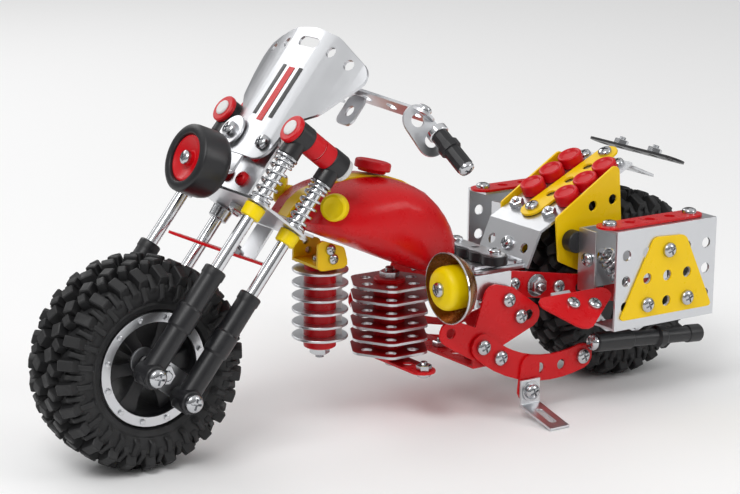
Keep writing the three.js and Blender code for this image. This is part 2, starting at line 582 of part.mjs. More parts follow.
// Engine: two finned cylinders, a bracket under the tank and a belly strip
{
  const [low, high] = FRONT_CYL_Z;
  const firstFin = high - 1.7 - FIN_T;
  const steps = [[CYL_R, low, firstFin - (FIN_COUNT - 1) * FIN_PITCH]];
  for (let i = FIN_COUNT - 1; i >= 0; i -= 1) {
    const fin = firstFin - i * FIN_PITCH;
    steps.push([FIN_R, fin, fin + FIN_T]);
    steps.push([CYL_R, fin + FIN_T, i > 0 ? fin + FIN_PITCH : high]);
  }
  piece('front_cylinder', stepped(steps), RED, frame, [FRONT_CYL_X, 0, 0], UPRIGHT_XZ);
}
{
  const [low, high] = REAR_CYL_Z;
  const hex = discHull([0, 1, 2, 3, 4, 5].map((i) => {
    const angle = (i / 6) * Math.PI * 2;
    return [(HEX_FIN_R - 2) * Math.cos(angle), (HEX_FIN_R - 2) * Math.sin(angle), 2];
  }), 8);
  const holes = [circle(9, 0, HOLE_R), circle(-9, 0, HOLE_R)];
  const fins = Array.from({ length: FIN_COUNT }, (_, i) => sheet(hex, holes, FIN_T)
    .translate(0, 0, high - 2.3 - i * (FIN_PITCH + 0.08)));
  piece('rear_cylinder', join(pinZ(CYL_R, 0, 0, low, high), ...fins), RED, frame, [REAR_CYL_X, 0, 0]);
}
{
  const web = block(...BRACE_X, -BRACE_Y, BRACE_Y, BRACE_Z, BRACE_Z + SHEET);
  const cheek = sheet(discHull(BRACE_CHEEK), BRACE_HOLES.map(([x, z]) => circle(x, z, BRACE_HOLE_R)))
    .rotateX(Math.PI / 2);
  const left = cheek.clone().translate(0, BRACE_Y, 0);
  const right = cheek.clone().translate(0, SHEET - BRACE_Y, 0);
  piece('engine_bracket', join(web, left, right), YELLOW, frame);
}
{
  const x = REAR_CYL_X - BELLY_SETBACK;
  const bellyZ = REAR_CYL_Z[0] - GAP - SHEET;
  const outline = discHull([[x, 19, STRIP_W / 2], [x, -19, STRIP_W / 2]]);
  const holes = [-2, -1, 1, 2].map((i) => circle(x, i * PITCH, HOLE_R));
  piece('belly_strip', sheet(outline, holes), RED, frame, [0, 0, bellyZ]);
}
{
  const y = CRANK_Y - SHEET - GAP;
  const line = [[-y, 0], [-y, -16], [y, -16], [y, 0]];
  const channel = bentStrip(line.reverse(), 12).rotateX(Math.PI / 2).rotateZ(Math.PI / 2);
  const holes = [-2, -1, 0, 1, 2].map((i) => pinZ(HOLE_R, 0, i * PITCH, -18, -14));
  piece('cross_member', cut(channel, ...holes), RED, frame, [CROSS_X, 0, 0]);
}

// Air cleaner: brass dish with a yellow dome, facing forward on the left
{
  const dish = turned([
    [0, 0], [4, 0], [11, 4.6], [13.4, 9], [12.7, 9.4], [10.3, 5.6], [8.1, 5.2], [7.4, 8.6], [5, 11.4], [0, 12.4],
  ]);
  piece('air_cleaner', dish, BRASS, frame, DISH_AT, [0, 0, -Math.PI / 2]);
}

// Crank plates, arc strips, chain stays and footboards on both sides
function arcStrip(from, to, sag) {
  const chord = new THREE.Vector2(to[0] - from[0], to[1] - from[1]);
  const half = chord.length() / 2;
  const radius = (half * half + sag * sag) / (2 * sag);
  const along = chord.clone().normalize();
  const up = new THREE.Vector2(-along.y, along.x);
  const middle = new THREE.Vector2(...from).addScaledVector(along, half).addScaledVector(up, radius - sag);
  const reach = Math.asin(half / radius);
  const line = (r, steps, flip) => Array.from({ length: steps + 1 }, (_, i) => {
    const angle = flip * reach * (1 - (2 * i) / steps);
    return middle.clone().addScaledVector(up, -r * Math.cos(angle)).addScaledVector(along, r * Math.sin(angle));
  });
  const round = (at, start) => [1, 2, 3, 4, 5].map((i) => {
    const angle = start + (i / 6) * Math.PI;
    return new THREE.Vector2(at[0] + (STRIP_W / 2) * Math.cos(angle), at[1] + (STRIP_W / 2) * Math.sin(angle));
  });
  const heading = Math.atan2(along.y, along.x);
  const outline = [
    ...line(radius + STRIP_W / 2, 10, -1), ...round(to, heading + reach - Math.PI / 2),
    ...line(radius - STRIP_W / 2, 10, 1), ...round(from, heading - reach + Math.PI / 2),
  ];
  return { outline: outline.map((point) => point.toArray()), along: (share) => {
    const angle = reach * (2 * share - 1);
    return middle.clone().addScaledVector(up, -radius * Math.cos(angle))
      .addScaledVector(along, radius * Math.sin(angle)).toArray();
  } };
}
for (const [side, s] of SIDES) {
  const r = STRIP_W / 2;
  const body = discHull([CRANK_TOP, CRANK_HIGH, CRANK_MID, CRANK_BACK, CRANK_FOOT].map((spot) => [...spot, r]));
  const arm = discHull([[...CRANK_NOSE, r], [...CRANK_FOOT, r + 1]]);
  const crank = join(sheet(body), sheet(arm));
  const spots = [CRANK_TOP, CRANK_MID, CRANK_NOSE, CRANK_FOOT, CRANK_BACK];
  const drills = spots.map(([x, z]) => pinZ(HOLE_R, x, z, -1, 2));
  piece(`crank_plate_${side}`, cut(crank, ...drills), RED, frame,
    [0, s > 0 ? CRANK_Y : SHEET - CRANK_Y, 0], UPRIGHT_XZ);

  const arc = arcStrip(ARC_END, CRANK_FOOT, ARC_SAG);
  const holes = ARC_HOLES.map((share) => circle(...arc.along(share), HOLE_R));
  const slotEnds = ARC_SLOT.map((share) => [...arc.along(share), HOLE_R]);
  const outer = CRANK_Y + GAP + SHEET;
  const blank = sheet(arc.outline, [...holes, discHull(slotEnds, HOLE_SIDES)]).rotateX(Math.PI / 2);
  if (s > 0) {
    const [x, z] = STAND_PIVOT;
    const lug = sheet(discHull([[x, z, LUG_R], [...LUG_TOP, LUG_R]]), [circle(x, z, PIN_R)])
      .rotateX(Math.PI / 2).translate(0, LUG_STEP, 0);
    const stub = pinY(PIN_R, x, z, 0, STAND_Y - outer + 1.5, RUN_SIDES);
    piece('arc_strip_left', join(blank, lug, stub), RED, frame, [0, outer, 0]);
  } else {
    piece('arc_strip_right', blank, RED, frame, [0, SHEET - outer, 0]);
  }

  const stayHoles = alongLine([0, 0], STAY_END, 7).map(([x, z], i) => circle(x, z, i ? HOLE_R : AXLE_R + RUN_GAP));
  sidePlate(`chain_stay_${side}`, s, discHull([[0, 0, r], [...STAY_END, r]]), stayHoles, RED, rear, STAY_Y);

  const board = sheet(discHull([[24, 0, 3], [-4, 0, 3], [13, s * 8.5, 6]]),
    [[13, 2.5], [4, 4.5]].map(([x, y]) => circle(x, s * y, HOLE_R)));
  piece(`footboard_${side}`, board, RED, frame, [0, s * BOARD_Y, 6.2], [-s * BOARD_TILT, 0, 0]);
}

// Exhausts: stepped tubes low on both sides
for (const [side, s] of SIDES) {
  const pipe = stepped([
    [EXHAUST_R + 0.7, 0, 18], [EXHAUST_R, 18, 31], [EXHAUST_R + 1.2, 31, 35], [EXHAUST_R, 35, 54],
  ], 12).rotateZ(Math.PI / 2).rotateY(-EXHAUST_FALL);
  piece(`exhaust_${side}`, pipe, BLACK_PLASTIC, rear, [EXHAUST_AT[0], s * EXHAUST_Y, EXHAUST_AT[1]]);
}

// Seat: black cross strip with lobed edges, behind the tank
{
  const lobes = [-1.5, -0.5, 0.5, 1.5].map((i) => sheet(
    circle(0, i * SEAT_LOBE_PITCH, SEAT_LOBE_R, ROUND_SIDES), [], SEAT_T,
  ));
  const end = SEAT_LOBE_PITCH * 1.5;
  const middle = sheet(rectangle(-SEAT_WAIST, -end, SEAT_WAIST, end), [], SEAT_T);
  piece('seat_pad', join(middle, ...lobes), BLACK_PLASTIC, frame, SEAT_AT);
}

// Rack over the rear wheel: bent fender plate, centre strip, knob rows and side plates
const rack = new THREE.Group();
rack.position.set(RACK_AT[0], 0, RACK_AT[1]);
frame.add(rack);
const slope = new THREE.Group();
slope.rotation.y = RACK_TILT;
rack.add(slope);
{
  const lipEnd = [RACK_LIP * Math.cos(LIP_BEND), -RACK_LIP * Math.sin(LIP_BEND)];
  const plate = bentStrip([[-RACK_LEN, 0], [0, 0], lipEnd], 31).rotateX(Math.PI / 2);
  const top = [[-PITCH, PITCH], [-PITCH, -PITCH], [-PITCH, 0], [-46, PITCH], [-46, -PITCH]];
  const drills = top.map(([x, y]) => pinZ(HOLE_R, x, y, -3, 3));
  const lipHoles = [-PITCH, 0, PITCH].map((y) => pinZ(HOLE_R, 8, y, -3, 3).rotateY(LIP_BEND));
  piece('fender_plate', cut(plate, ...drills, ...lipHoles), STEEL, slope);
}
{
  const centres = alongLine([-PITCH * 5, 0], [-PITCH, 0], 5);
  const outline = discHull([centres[0], centres.at(-1)].map((spot) => [...spot, STRIP_W / 2]));
  const strip = sheet(outline, centres.map(([x, y]) => circle(x, y, HOLE_R)));
  piece('rack_strip', strip, YELLOW, slope, [0, 0, GAP]);
}
for (const [side, s] of SIDES) {
  const [railHalf, railH] = KNOB_RAIL;
  const rail = block(KNOB_X.at(-1), KNOB_X[0], -railHalf, railHalf, 0, railH);
  const knobs = KNOB_X.map((x) => pinZ(KNOB_R, x, 0, 0, KNOB_H, 12));
  piece(`knob_row_${side}`, join(rail, ...knobs), RED_PLASTIC, slope, [0, s * KNOB_Y, GAP]);
  const outline = discHull([[3.5, 32.5, 1.5], [1.8, 17, 1.5], [-8, 13, 2], [-27, 13, 2], [-23.5, 48, 2.5]]);
  const holes = [[-13, 36], [-23, 37.5], [-12, 24], [-2, 24]].map(([x, z]) => circle(x, z, HOLE_R));
  sidePlate(`side_plate_${side}`, s, outline, holes, YELLOW, frame, SIDE_Y);
}

// Tail bar across the back
{
  const holes = [-2, -1, 0, 1, 2].map((i) => circle(0, i * PITCH, HOLE_R));
  const strip = sheet(discHull([[0, 21, 5], [0, -21, 5]]), holes);
  piece('tail_bar', strip, BLACK_PLASTIC, frame, [-49.3, 0, 50.7], [0, -0.4, 0]);
}

// Panniers: bent outer shell with a 5 by 3 grid of holes, inner bracket with a front flange
for (const [side, s] of SIDES) {
  const [x0, x1] = PANEL_X;
  const [z0, z1] = PANEL_Z;
  const inner = PANEL_Y - PANEL_FLANGE;
  const line = [[inner, z1], [PANEL_Y, z1], [PANEL_Y, z0], [inner, z0]];
  const shell = bentStrip(line, x1 - x0).rotateX(Math.PI / 2).rotateZ(Math.PI / 2).translate((x0 + x1) / 2, 0, 0);
  const drills = [0, 1, 2, 3, 4].flatMap((i) => [0, 1, 2].map((j) => pinY(
    HOLE_R, x1 - PITCH / 2 - i * PITCH, z1 - PANEL_TOP_ROW - j * PITCH, PANEL_Y - 3, PANEL_Y + 3,
  )));
  piece(`pannier_shell_${side}`, toSide(cut(shell, ...drills), s), STEEL, rear);
  const low = BRACKET_Z[0];
  const high = BRACKET_Z[1];
  const wallY = STAY_Y + SHEET + GAP;
  const frontX = x1 - SHEET - GAP;
  const angle = join(
    block(x0 + 4, frontX, wallY, wallY + SHEET, low, high),
    block(frontX - SHEET, frontX, wallY, wallY + PITCH, low, high),
  );
  const holeZ = (low + high) / 2;
  const flangeHole = pinX(HOLE_R, wallY + PITCH - 4, holeZ, frontX - 3, frontX + 3);
  const wallHole = pinY(HOLE_R, x1 - 12, holeZ, wallY - 3, wallY + 3);
  const bracket = cut(angle, flangeHole, wallHole);
  piece(`pannier_bracket_${side}`, toSide(bracket, s), STEEL, rear);
}

// Kickstand: upright on the lug's stub and a splayed foot with a slot
{
  const [x, z] = STAND_PIVOT;
  const footZ = -AXLE_Z + FOOT_CLEAR + SHEET;
  const line = [[STAND_Y, z + STAND_TOP], [STAND_Y, z - STAND_BEND], [STAND_Y + STAND_SPLAY, footZ]];
  const strip = bentStrip(line, STRIP_W - 1).rotateX(Math.PI / 2).rotateZ(Math.PI / 2).translate(x, 0, 0);
  const eye = pinY(PIN_R + RUN_GAP, x, z, STAND_Y - 3, STAND_Y + 2, RUN_SIDES);
  const slotEnds = STAND_SLOT.map((out) => [x, STAND_Y + out, STAND_SLOT_R]);
  const slot = sheet(discHull(slotEnds, HOLE_SIDES), [], AXLE_Z).translate(0, 0, -AXLE_Z - SHEET);
  piece('kickstand', cut(strip, eye, slot), STEEL, frame);
}

export default bike;
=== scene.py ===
"""Construction-kit chopper motorcycle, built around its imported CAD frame.

Every piece is modelled in millimetres about its own origin, then set into the row frame, in metres.
"""

import json
import math

import bpy
from mathutils import Matrix, Vector

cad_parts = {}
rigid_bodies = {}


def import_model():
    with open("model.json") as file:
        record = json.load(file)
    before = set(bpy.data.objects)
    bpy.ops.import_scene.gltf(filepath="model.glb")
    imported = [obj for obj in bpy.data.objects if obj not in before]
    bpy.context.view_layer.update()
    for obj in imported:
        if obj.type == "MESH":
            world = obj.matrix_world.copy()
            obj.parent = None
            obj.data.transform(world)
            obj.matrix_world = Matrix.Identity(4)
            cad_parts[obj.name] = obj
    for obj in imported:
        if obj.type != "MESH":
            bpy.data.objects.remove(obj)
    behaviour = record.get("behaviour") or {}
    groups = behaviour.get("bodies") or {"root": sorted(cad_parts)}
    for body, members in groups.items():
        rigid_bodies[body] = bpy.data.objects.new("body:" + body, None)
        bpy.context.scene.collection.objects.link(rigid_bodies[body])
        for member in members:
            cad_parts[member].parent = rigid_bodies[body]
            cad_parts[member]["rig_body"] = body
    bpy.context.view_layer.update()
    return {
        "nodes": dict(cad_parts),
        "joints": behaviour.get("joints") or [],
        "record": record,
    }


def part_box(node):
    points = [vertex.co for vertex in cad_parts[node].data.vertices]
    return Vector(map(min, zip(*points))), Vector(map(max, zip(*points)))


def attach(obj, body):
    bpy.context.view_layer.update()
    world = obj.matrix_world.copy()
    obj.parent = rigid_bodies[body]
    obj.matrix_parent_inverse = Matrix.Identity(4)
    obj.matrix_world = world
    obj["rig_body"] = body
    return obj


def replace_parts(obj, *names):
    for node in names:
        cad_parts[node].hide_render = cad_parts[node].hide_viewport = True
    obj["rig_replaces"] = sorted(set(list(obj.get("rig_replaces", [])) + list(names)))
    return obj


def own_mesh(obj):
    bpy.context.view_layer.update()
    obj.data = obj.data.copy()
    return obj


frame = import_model()
RECORD = frame["record"]
NODES = frame["nodes"]
SLOT_OF = {part["node"]: part["material_slot"] for part in RECORD["subparts"]}
SIDES = (("left", 1), ("right", -1))

# Kit standards, in millimetres
PITCH = 10
HOLE_R = 2.1
SHEET = 1
SCREW_R = 2.8
SCREW_H = 1.9
NUT_R = 3.1
NUT_H = 2.3
BREAK = 0.14


# ---------------------------------------------------------------- places on the bike
def middle(node):
    low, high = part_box(node)
    return (low + high) / 2


def joint(name):
    return next(j for j in frame["joints"] if j["name"] == name)


def axes(x, y, z, at):
    """Matrix from millimetres along the given axes to the row frame."""
    turn = Matrix((x, y, z)).transposed().to_4x4()
    return Matrix.Translation(at) @ turn @ Matrix.Scale(0.001, 4)


AHEAD = Vector((1, 0, 0))
LEFT = Vector((0, 1, 0))
UP = Vector((0, 0, 1))
REAR_AXLE = middle("rear_rim")
FRONT_AXLE = middle("front_rim")
LEG_UP = Vector(joint("steer")["axis"]).normalized()
LEG_AHEAD = LEFT.cross(LEG_UP)

BIKE = axes(AHEAD, LEFT, UP, (REAR_AXLE.x, 0, 0))      # from the ground below the rear axle
REAR_HUB = axes(AHEAD, -UP, LEFT, REAR_AXLE)           # wheel's own axis is local Z
FRONT_HUB = axes(AHEAD, -UP, LEFT, FRONT_AXLE)
FORK = axes(LEG_AHEAD, LEFT, LEG_UP, FRONT_AXLE)       # raked, from the front axle
YOKE_TOP = 66.7
LEG_SETBACK = -1.8
HEAD = FORK @ Matrix.Translation((LEG_SETBACK, 0, YOKE_TOP))


def turn_to(direction, at=(0, 0, 0), spin=0.0):
    """Matrix that stands local Z along a direction, at a point."""
    quaternion = Vector(direction).to_track_quat("Z", "Y")
    return Matrix.Translation(at) @ quaternion.to_matrix().to_4x4() @ Matrix.Rotation(spin, 4, "Z")


# ---------------------------------------------------------------- finishes
def node(tree, kind, **values):
    made = tree.nodes.new(kind)
    for key, value in values.items():
        if key in made.inputs:
            made.inputs[key].default_value = value
        else:
            setattr(made, key, value)
    return made


def finish(name, colour, roughness, metallic=0.0, coat=0.0, mottle=0.12, grain=1500, bump=0.15, spread=0.07,
           specular=0.5):
    """A procedural finish: slight colour mottling, uneven gloss and a fine surface grain."""
    material = bpy.data.materials.new(name)
    material.use_nodes = True
    tree = material.node_tree
    shader = tree.nodes["Principled BSDF"]
    shader.inputs["Metallic"].default_value = metallic
    shader.inputs["Coat Weight"].default_value = coat
    shader.inputs["Coat Roughness"].default_value = 0.06
    shader.inputs["Specular IOR Level"].default_value = specular
    link = tree.links.new
    place = node(tree, "ShaderNodeTexCoord")
    cloud = node(tree, "ShaderNodeTexNoise", Scale=70.0, Detail=5.0, Roughness=0.6)
    link(place.outputs["Object"], cloud.inputs["Vector"])
    tint = node(tree, "ShaderNodeMix", data_type="RGBA")
    tint.inputs["A"].default_value = (*colour, 1)
    tint.inputs["B"].default_value = (*[c * (1 - mottle) for c in colour], 1)
    link(cloud.outputs["Fac"], tint.inputs["Factor"])
    link(tint.outputs["Result"], shader.inputs["Base Color"])
    smear = node(tree, "ShaderNodeTexNoise", Scale=240.0, Detail=6.0, Roughness=0.65)
    link(place.outputs["Object"], smear.inputs["Vector"])
    gloss = node(tree, "ShaderNodeMapRange")
    gloss.inputs["From Min"].default_value = 0.3
    gloss.inputs["From Max"].default_value = 0.7
    gloss.inputs["To Min"].default_value = max(0.03, roughness - spread)
    gloss.inputs["To Max"].default_value = roughness + spread
    link(smear.outputs["Fac"], gloss.inputs["Value"])
    link(gloss.outputs["Result"], shader.inputs["Roughness"])
    fine = node(tree, "ShaderNodeTexNoise", Scale=float(grain), Detail=3.0)
    link(place.outputs["Object"], fine.inputs["Vector"])
    relief = node(tree, "ShaderNodeBump", Strength=bump, Distance=0.0001)
    link(fine.outputs["Fac"], relief.inputs["Height"])
    link(relief.outputs["Normal"], shader.inputs["Normal"])
    return material


RED = finish("red_enamel", (0.62, 0.002, 0.006), 0.3, coat=0.05, mottle=0.16, grain=1100, bump=0.1,
             specular=0.25)
DARK_RED = finish("dark_red_enamel", (0.3, 0.003, 0.005), 0.34, mottle=0.25, grain=1100, bump=0.1,
                  specular=0.2)
YELLOW = finish("yellow_enamel", (0.92, 0.6, 0.002), 0.32, coat=0.05, mottle=0.1, grain=1100, bump=0.1,
                specular=0.25)
SHEET_STEEL = finish("plated_sheet", (0.66, 0.67, 0.69), 0.33, metallic=1.0, mottle=0.05, bump=0.012,
                     spread=0.03)
CHROME = finish("bright_chrome", (0.72, 0.73, 0.75), 0.12, metallic=1.0, mottle=0.12, bump=0.03, spread=0.04)
ZINC = finish("zinc_fastener", (0.6, 0.61, 0.63), 0.2, metallic=1.0, mottle=0.25, bump=0.08)
GILT = finish("brass_dish", (0.3, 0.13, 0.03), 0.25, metallic=0.9, coat=0.2, mottle=0.35, bump=0.06)
BLACK = finish("black_moulding", (0.012, 0.012, 0.014), 0.38, mottle=0.3, grain=2200, bump=0.2)
RED_PLASTIC = finish("red_moulding", (0.6, 0.002, 0.008), 0.34, mottle=0.14, grain=1800, bump=0.12,
                     specular=0.3)
YELLOW_PLASTIC = finish("yellow_moulding", (0.95, 0.7, 0.0), 0.36, mottle=0.1, grain=1800, bump=0.12,
                        specular=0.3)
WHITE_PLASTIC = finish("white_moulding", (0.72, 0.72, 0.71), 0.38, mottle=0.07, grain=1800, bump=0.1)
RUBBER = finish("tyre_rubber", (0.011, 0.011, 0.012), 0.6, mottle=0.4, grain=900, bump=0.4, spread=0.14)
BLACK_PRINT = finish("black_print", (0.006, 0.006, 0.007), 0.36, mottle=0.2)

SLOT_FINISH = {
    "red_paint": RED, "yellow_paint": YELLOW, "steel": SHEET_STEEL, "chrome": CHROME, "brass": GILT,
    "red_plastic": RED_PLASTIC, "black_plastic": BLACK, "tyre_rubber": RUBBER,
}


# ---------------------------------------------------------------- workbench
def clear():
    bpy.ops.object.select_all(action="DESELECT")


def use(obj):
    clear()
    obj.select_set(True)
    bpy.context.view_layer.objects.active = obj


def named(name):
    obj = bpy.context.active_object
    obj.name = name
    obj.data.name = name
    return obj


def editing(select="VERT"):
    bpy.ops.object.mode_set(mode="EDIT")
    bpy.ops.mesh.select_mode(type=select)


def done():
    bpy.ops.object.mode_set(mode="OBJECT")


def pick(obj, kind, wanted):
    """Selects a piece's faces, edges or vertices by a test of their place, and leaves it in edit mode."""
    use(obj)
    editing({"polygons": "FACE", "edges": "EDGE", "vertices": "VERT"}[kind])
    bpy.ops.mesh.select_all(action="DESELECT")
    done()
    for item in getattr(obj.data, kind):
        item.select = wanted(item)
    bpy.ops.object.mode_set(mode="EDIT")


def tidy(obj):
    """Merges doubled points and turns the faces outwards."""
    use(obj)
    editing()
    bpy.ops.mesh.select_all(action="SELECT")
    bpy.ops.mesh.remove_doubles(threshold=0.0005)
    bpy.ops.mesh.normals_make_consistent(inside=False)
    done()
    return obj


def apply(obj, kind, **settings):
    """Adds one modifier and applies it."""
    use(obj)
    modifier = obj.modifiers.new(kind.lower(), kind)
    for key, value in settings.items():
        setattr(modifier, key, value)
    bpy.ops.object.modifier_apply(modifier=modifier.name)
    return obj


def smooth(obj, degrees=35):
    use(obj)
    bpy.ops.object.shade_smooth_by_angle(angle=math.radians(degrees))
    return obj


def even(obj):
    """Keeps flat faces flat beside their broken edges."""
    return apply(obj, "WEIGHTED_NORMAL", keep_sharp=True)


def softened(obj, width=BREAK, segments=2, degrees=35):
    """Breaks the sharp edges and smooths what is round."""
    apply(obj, "BEVEL", width=width, segments=segments, limit_method="ANGLE",
          angle_limit=math.radians(degrees), use_clamp_overlap=True, harden_normals=False)
    return smooth(obj, degrees)


def turned(name, rings, sides=32):
    """A body turned about Z: a disc raised ring by ring through (radius, height) steps."""
    clear()
    radius, height = rings[0]
    bpy.ops.mesh.primitive_circle_add(
        vertices=sides, radius=radius, fill_type="NGON", location=(0, 0, height))
    obj = named(name)
    obj.data.transform(obj.matrix_world)
    obj.matrix_world = Matrix()
    editing("FACE")
    bpy.ops.mesh.select_all(action="SELECT")
    for next_radius, next_height in rings[1:]:
        bpy.ops.mesh.extrude_region_move(TRANSFORM_OT_translate={"value": (0, 0, next_height - height)})
        share = next_radius / radius
        bpy.ops.transform.resize(value=(share, share, 1), center_override=(0, 0, next_height))
        radius, height = next_radius, next_height
    done()
    return tidy(obj)


def spun(name, outline, steps=48):
    """A ring about Z: a closed outline of (radius, height) points spun all round."""
    clear()
    bpy.ops.mesh.primitive_circle_add(vertices=len(outline), fill_type="NOTHING")
    obj = named(name)
    for vertex, (radius, height) in zip(obj.data.vertices, outline):
        vertex.co = (radius, 0, height)
    editing()
    bpy.ops.mesh.select_all(action="SELECT")
    bpy.ops.mesh.spin(steps=steps, angle=math.tau, center=(0, 0, 0), axis=(0, 0, 1))
    done()
    return tidy(obj)


def slab(name, outline, depth, rounding=0.0):
    """A flat piece: a filled outline of (x, y) points raised by its depth, with rounded corners."""
    clear()
    bpy.ops.mesh.primitive_circle_add(vertices=len(outline), fill_type="NGON")
    obj = named(name)
    for vertex, (x, y) in zip(obj.data.vertices, outline):
        vertex.co = (x, y, 0)
    editing("FACE")
    bpy.ops.mesh.select_all(action="SELECT")
    bpy.ops.mesh.extrude_region_move(TRANSFORM_OT_translate={"value": (0, 0, depth)})
    done()
    tidy(obj)
    if rounding:
        ends = {v.index: v.co.z for v in obj.data.vertices}
        pick(obj, "edges", lambda e: abs(ends[e.vertices[0]] - ends[e.vertices[1]]) > depth / 2)
        bpy.ops.mesh.bevel(offset=rounding, segments=6, affect="EDGES", clamp_overlap=True)
        done()
    return obj


def strip(name, length, width=PITCH, depth=SHEET, rounding=None):
    """A flat strip along X with round ends, from its middle."""
    x, y = length / 2, width / 2
    corner = (y - 0.02) if rounding is None else rounding
    return slab(name, [(-x, -y), (x, -y), (x, y), (-x, y)], depth, corner)


def bent(name, line, width=PITCH, depth=SHEET):
    """A strip bent along (x, z) points, its width across Y from the middle."""
    points = [Vector(p) for p in line]
    normals = [Vector((b.y - a.y, a.x - b.x)).normalized() for a, b in zip(points, points[1:])]
    inner = []
    for i, point in enumerate(points):
        before, after = normals[max(i - 1, 0)], normals[min(i, len(normals) - 1)]
        mitre = (before + after).normalized()
        inner.append(point + mitre * depth / mitre.dot(after))
    obj = slab(name, [tuple(p) for p in [*points, *reversed(inner)]], width)
    obj.data.transform(Matrix.Rotation(math.pi / 2, 4, "X") @ Matrix.Translation((0, 0, -width / 2)))
    return tidy(obj)


def copied(obj, matrix=None, name=None):
    """A copy with its own mesh, moved by a matrix."""
    twin = bpy.data.objects.new(name or obj.name, obj.data.copy())
    bpy.context.scene.collection.objects.link(twin)
    if matrix is not None:
        twin.data.transform(matrix)
        if matrix.determinant() < 0:
            twin.data.flip_normals()
    return twin


def joined(name, pieces):
    clear()
    for obj in pieces:
        obj.select_set(True)
    bpy.context.view_layer.objects.active = pieces[0]
    if len(pieces) > 1:
        bpy.ops.object.join()
    return named(name)


def drop(*objs):
    for obj in objs:
        bpy.data.objects.remove(obj)


def drilled(obj, spots, radius=HOLE_R, matrix=None, reach=30):
    """Drills round holes at (x, y) spots, along Z or along the matrix's Z."""
    drills = []
    for x, y in spots:
        clear()
        bpy.ops.mesh.primitive_cylinder_add(vertices=20, radius=radius, depth=reach, location=(x, y, 0))
        drill = named("drill")
        drill.data.transform(drill.matrix_world)
        drill.matrix_world = Matrix()
        drills.append(drill)
    tool = joined("drill", drills)
    if matrix is not None:
        tool.data.transform(matrix)
    apply(obj, "BOOLEAN", object=tool, operation="DIFFERENCE", solver="EXACT")
    drop(tool)
    return obj


def coloured(obj, *finishes):
    obj.data.materials.clear()
    for each in finishes:
        obj.data.materials.append(each)
    return obj


def fit(obj, place, surface, body, stands_for=(), at=None):
    """Sets a finished piece into the row frame, gives it its finish and lets it ride on its body."""
    matrix = place if at is None else place @ at
    obj.data.transform(matrix)
    if matrix.determinant() < 0:
        obj.data.flip_normals()
    even(obj)
    if surface is not None:
        coloured(obj, surface)
    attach(obj, body)
    if stands_for:
        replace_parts(obj, *stands_for)
    return obj


# ---------------------------------------------------------------- fasteners
def make_screw():
    """Pan head with a cross recess."""
    head = turned("screw", [(SCREW_R, 0), (SCREW_R, 0.9), (SCREW_R * 0.9, 1.5), (SCREW_R * 0.62, SCREW_H),
                            (SCREW_R * 0.3, SCREW_H + 0.12)], 16)
    arms = []
    for spin in (0, math.pi / 2):
        arm = slab("arm", [(-1.75, -0.36), (1.75, -0.36), (1.75, 0.36), (-1.75, 0.36)], 3)
        arm.data.transform(Matrix.Rotation(spin + 0.4, 4, "Z") @ Matrix.Translation((0, 0, 0.95)))
        arms.append(arm)
    for arm in arms:
        apply(head, "BOOLEAN", object=arm, operation="DIFFERENCE", solver="EXACT")
    drop(*arms)
    return smooth(head, 40)


def make_nut():
    """Hexagon nut with chamfered corners and the screw's end standing out of it."""
    body = turned("nut", [(NUT_R - 0.25, 0), (NUT_R, 0.25), (NUT_R, NUT_H - 0.3), (NUT_R - 0.35, NUT_H),
                          (1.7, NUT_H), (1.6, NUT_H - 0.5)], 6)
    thread = turned("thread", [(1.42, 0.5)] + [
        (1.42 if i % 2 else 1.28, NUT_H - 0.6 + i * 0.22) for i in range(8)] + [(1.1, NUT_H + 1.2)], 10)
    smooth(thread, 25)
    return joined("nut", [smooth(body, 25), thread])


SCREW = make_screw()
NUT = make_nut()
WASHER = softened(spun("washer", [(1.7, 0), (4.4, 0), (4.4, 0.7), (1.7, 0.7)], 24), 0.1)
fasteners = {}


def fasten(kind, place, at, direction=UP, body="chassis", size=1.0, spin=0.0):
    """Sets one screw, nut or washer at a point, facing a direction; they are joined by body at the end."""
    matrix = place @ turn_to(direction, at, spin) @ Matrix.Scale(size, 4)
    fasteners.setdefault((kind.name, body), []).append(copied(kind, matrix))


# ---------------------------------------------------------------- CAD pieces with broken edges
def refined(cad, surface=None, width=BREAK, name=None):
    """A copy of a CAD piece with whole faces, broken edges and smooth curves, in its own finish."""
    source = NODES[cad]
    obj = bpy.data.objects.new(name or cad + "_shown", source.data.copy())
    bpy.context.scene.collection.objects.link(obj)
    obj.data.transform(Matrix.Scale(1000, 4))
    use(obj)
    editing()
    bpy.ops.mesh.select_all(action="SELECT")
    bpy.ops.mesh.remove_doubles(threshold=0.002)
    bpy.ops.mesh.dissolve_limited(angle_limit=math.radians(1))
    bpy.ops.mesh.normals_make_consistent(inside=False)
    done()
    softened(obj, width)
    obj.data.transform(Matrix.Scale(0.001, 4))
    even(obj)
    surface = surface or SLOT_FINISH[SLOT_OF[cad]]
    coloured(obj, surface)
    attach(obj, source["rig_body"])
    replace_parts(obj, cad)
    return obj


# ---------------------------------------------------------------- wheels
WHEEL_R = 37.3
LUG_COUNT = 26


def make_lug(name, long, wide, high, taper=0.78):
    """One tread block, narrower at its top."""
    clear()
    bpy.ops.mesh.primitive_cube_add(size=1)
    obj = named(name)
    obj.data.transform(Matrix.Diagonal((long, wide, high, 1)))
    pick(obj, "polygons", lambda face: face.normal.z > 0.5)
    bpy.ops.transform.resize(value=(taper, taper, 1))
    done()
    apply(obj, "BEVEL", width=0.35, segments=1)
    return obj


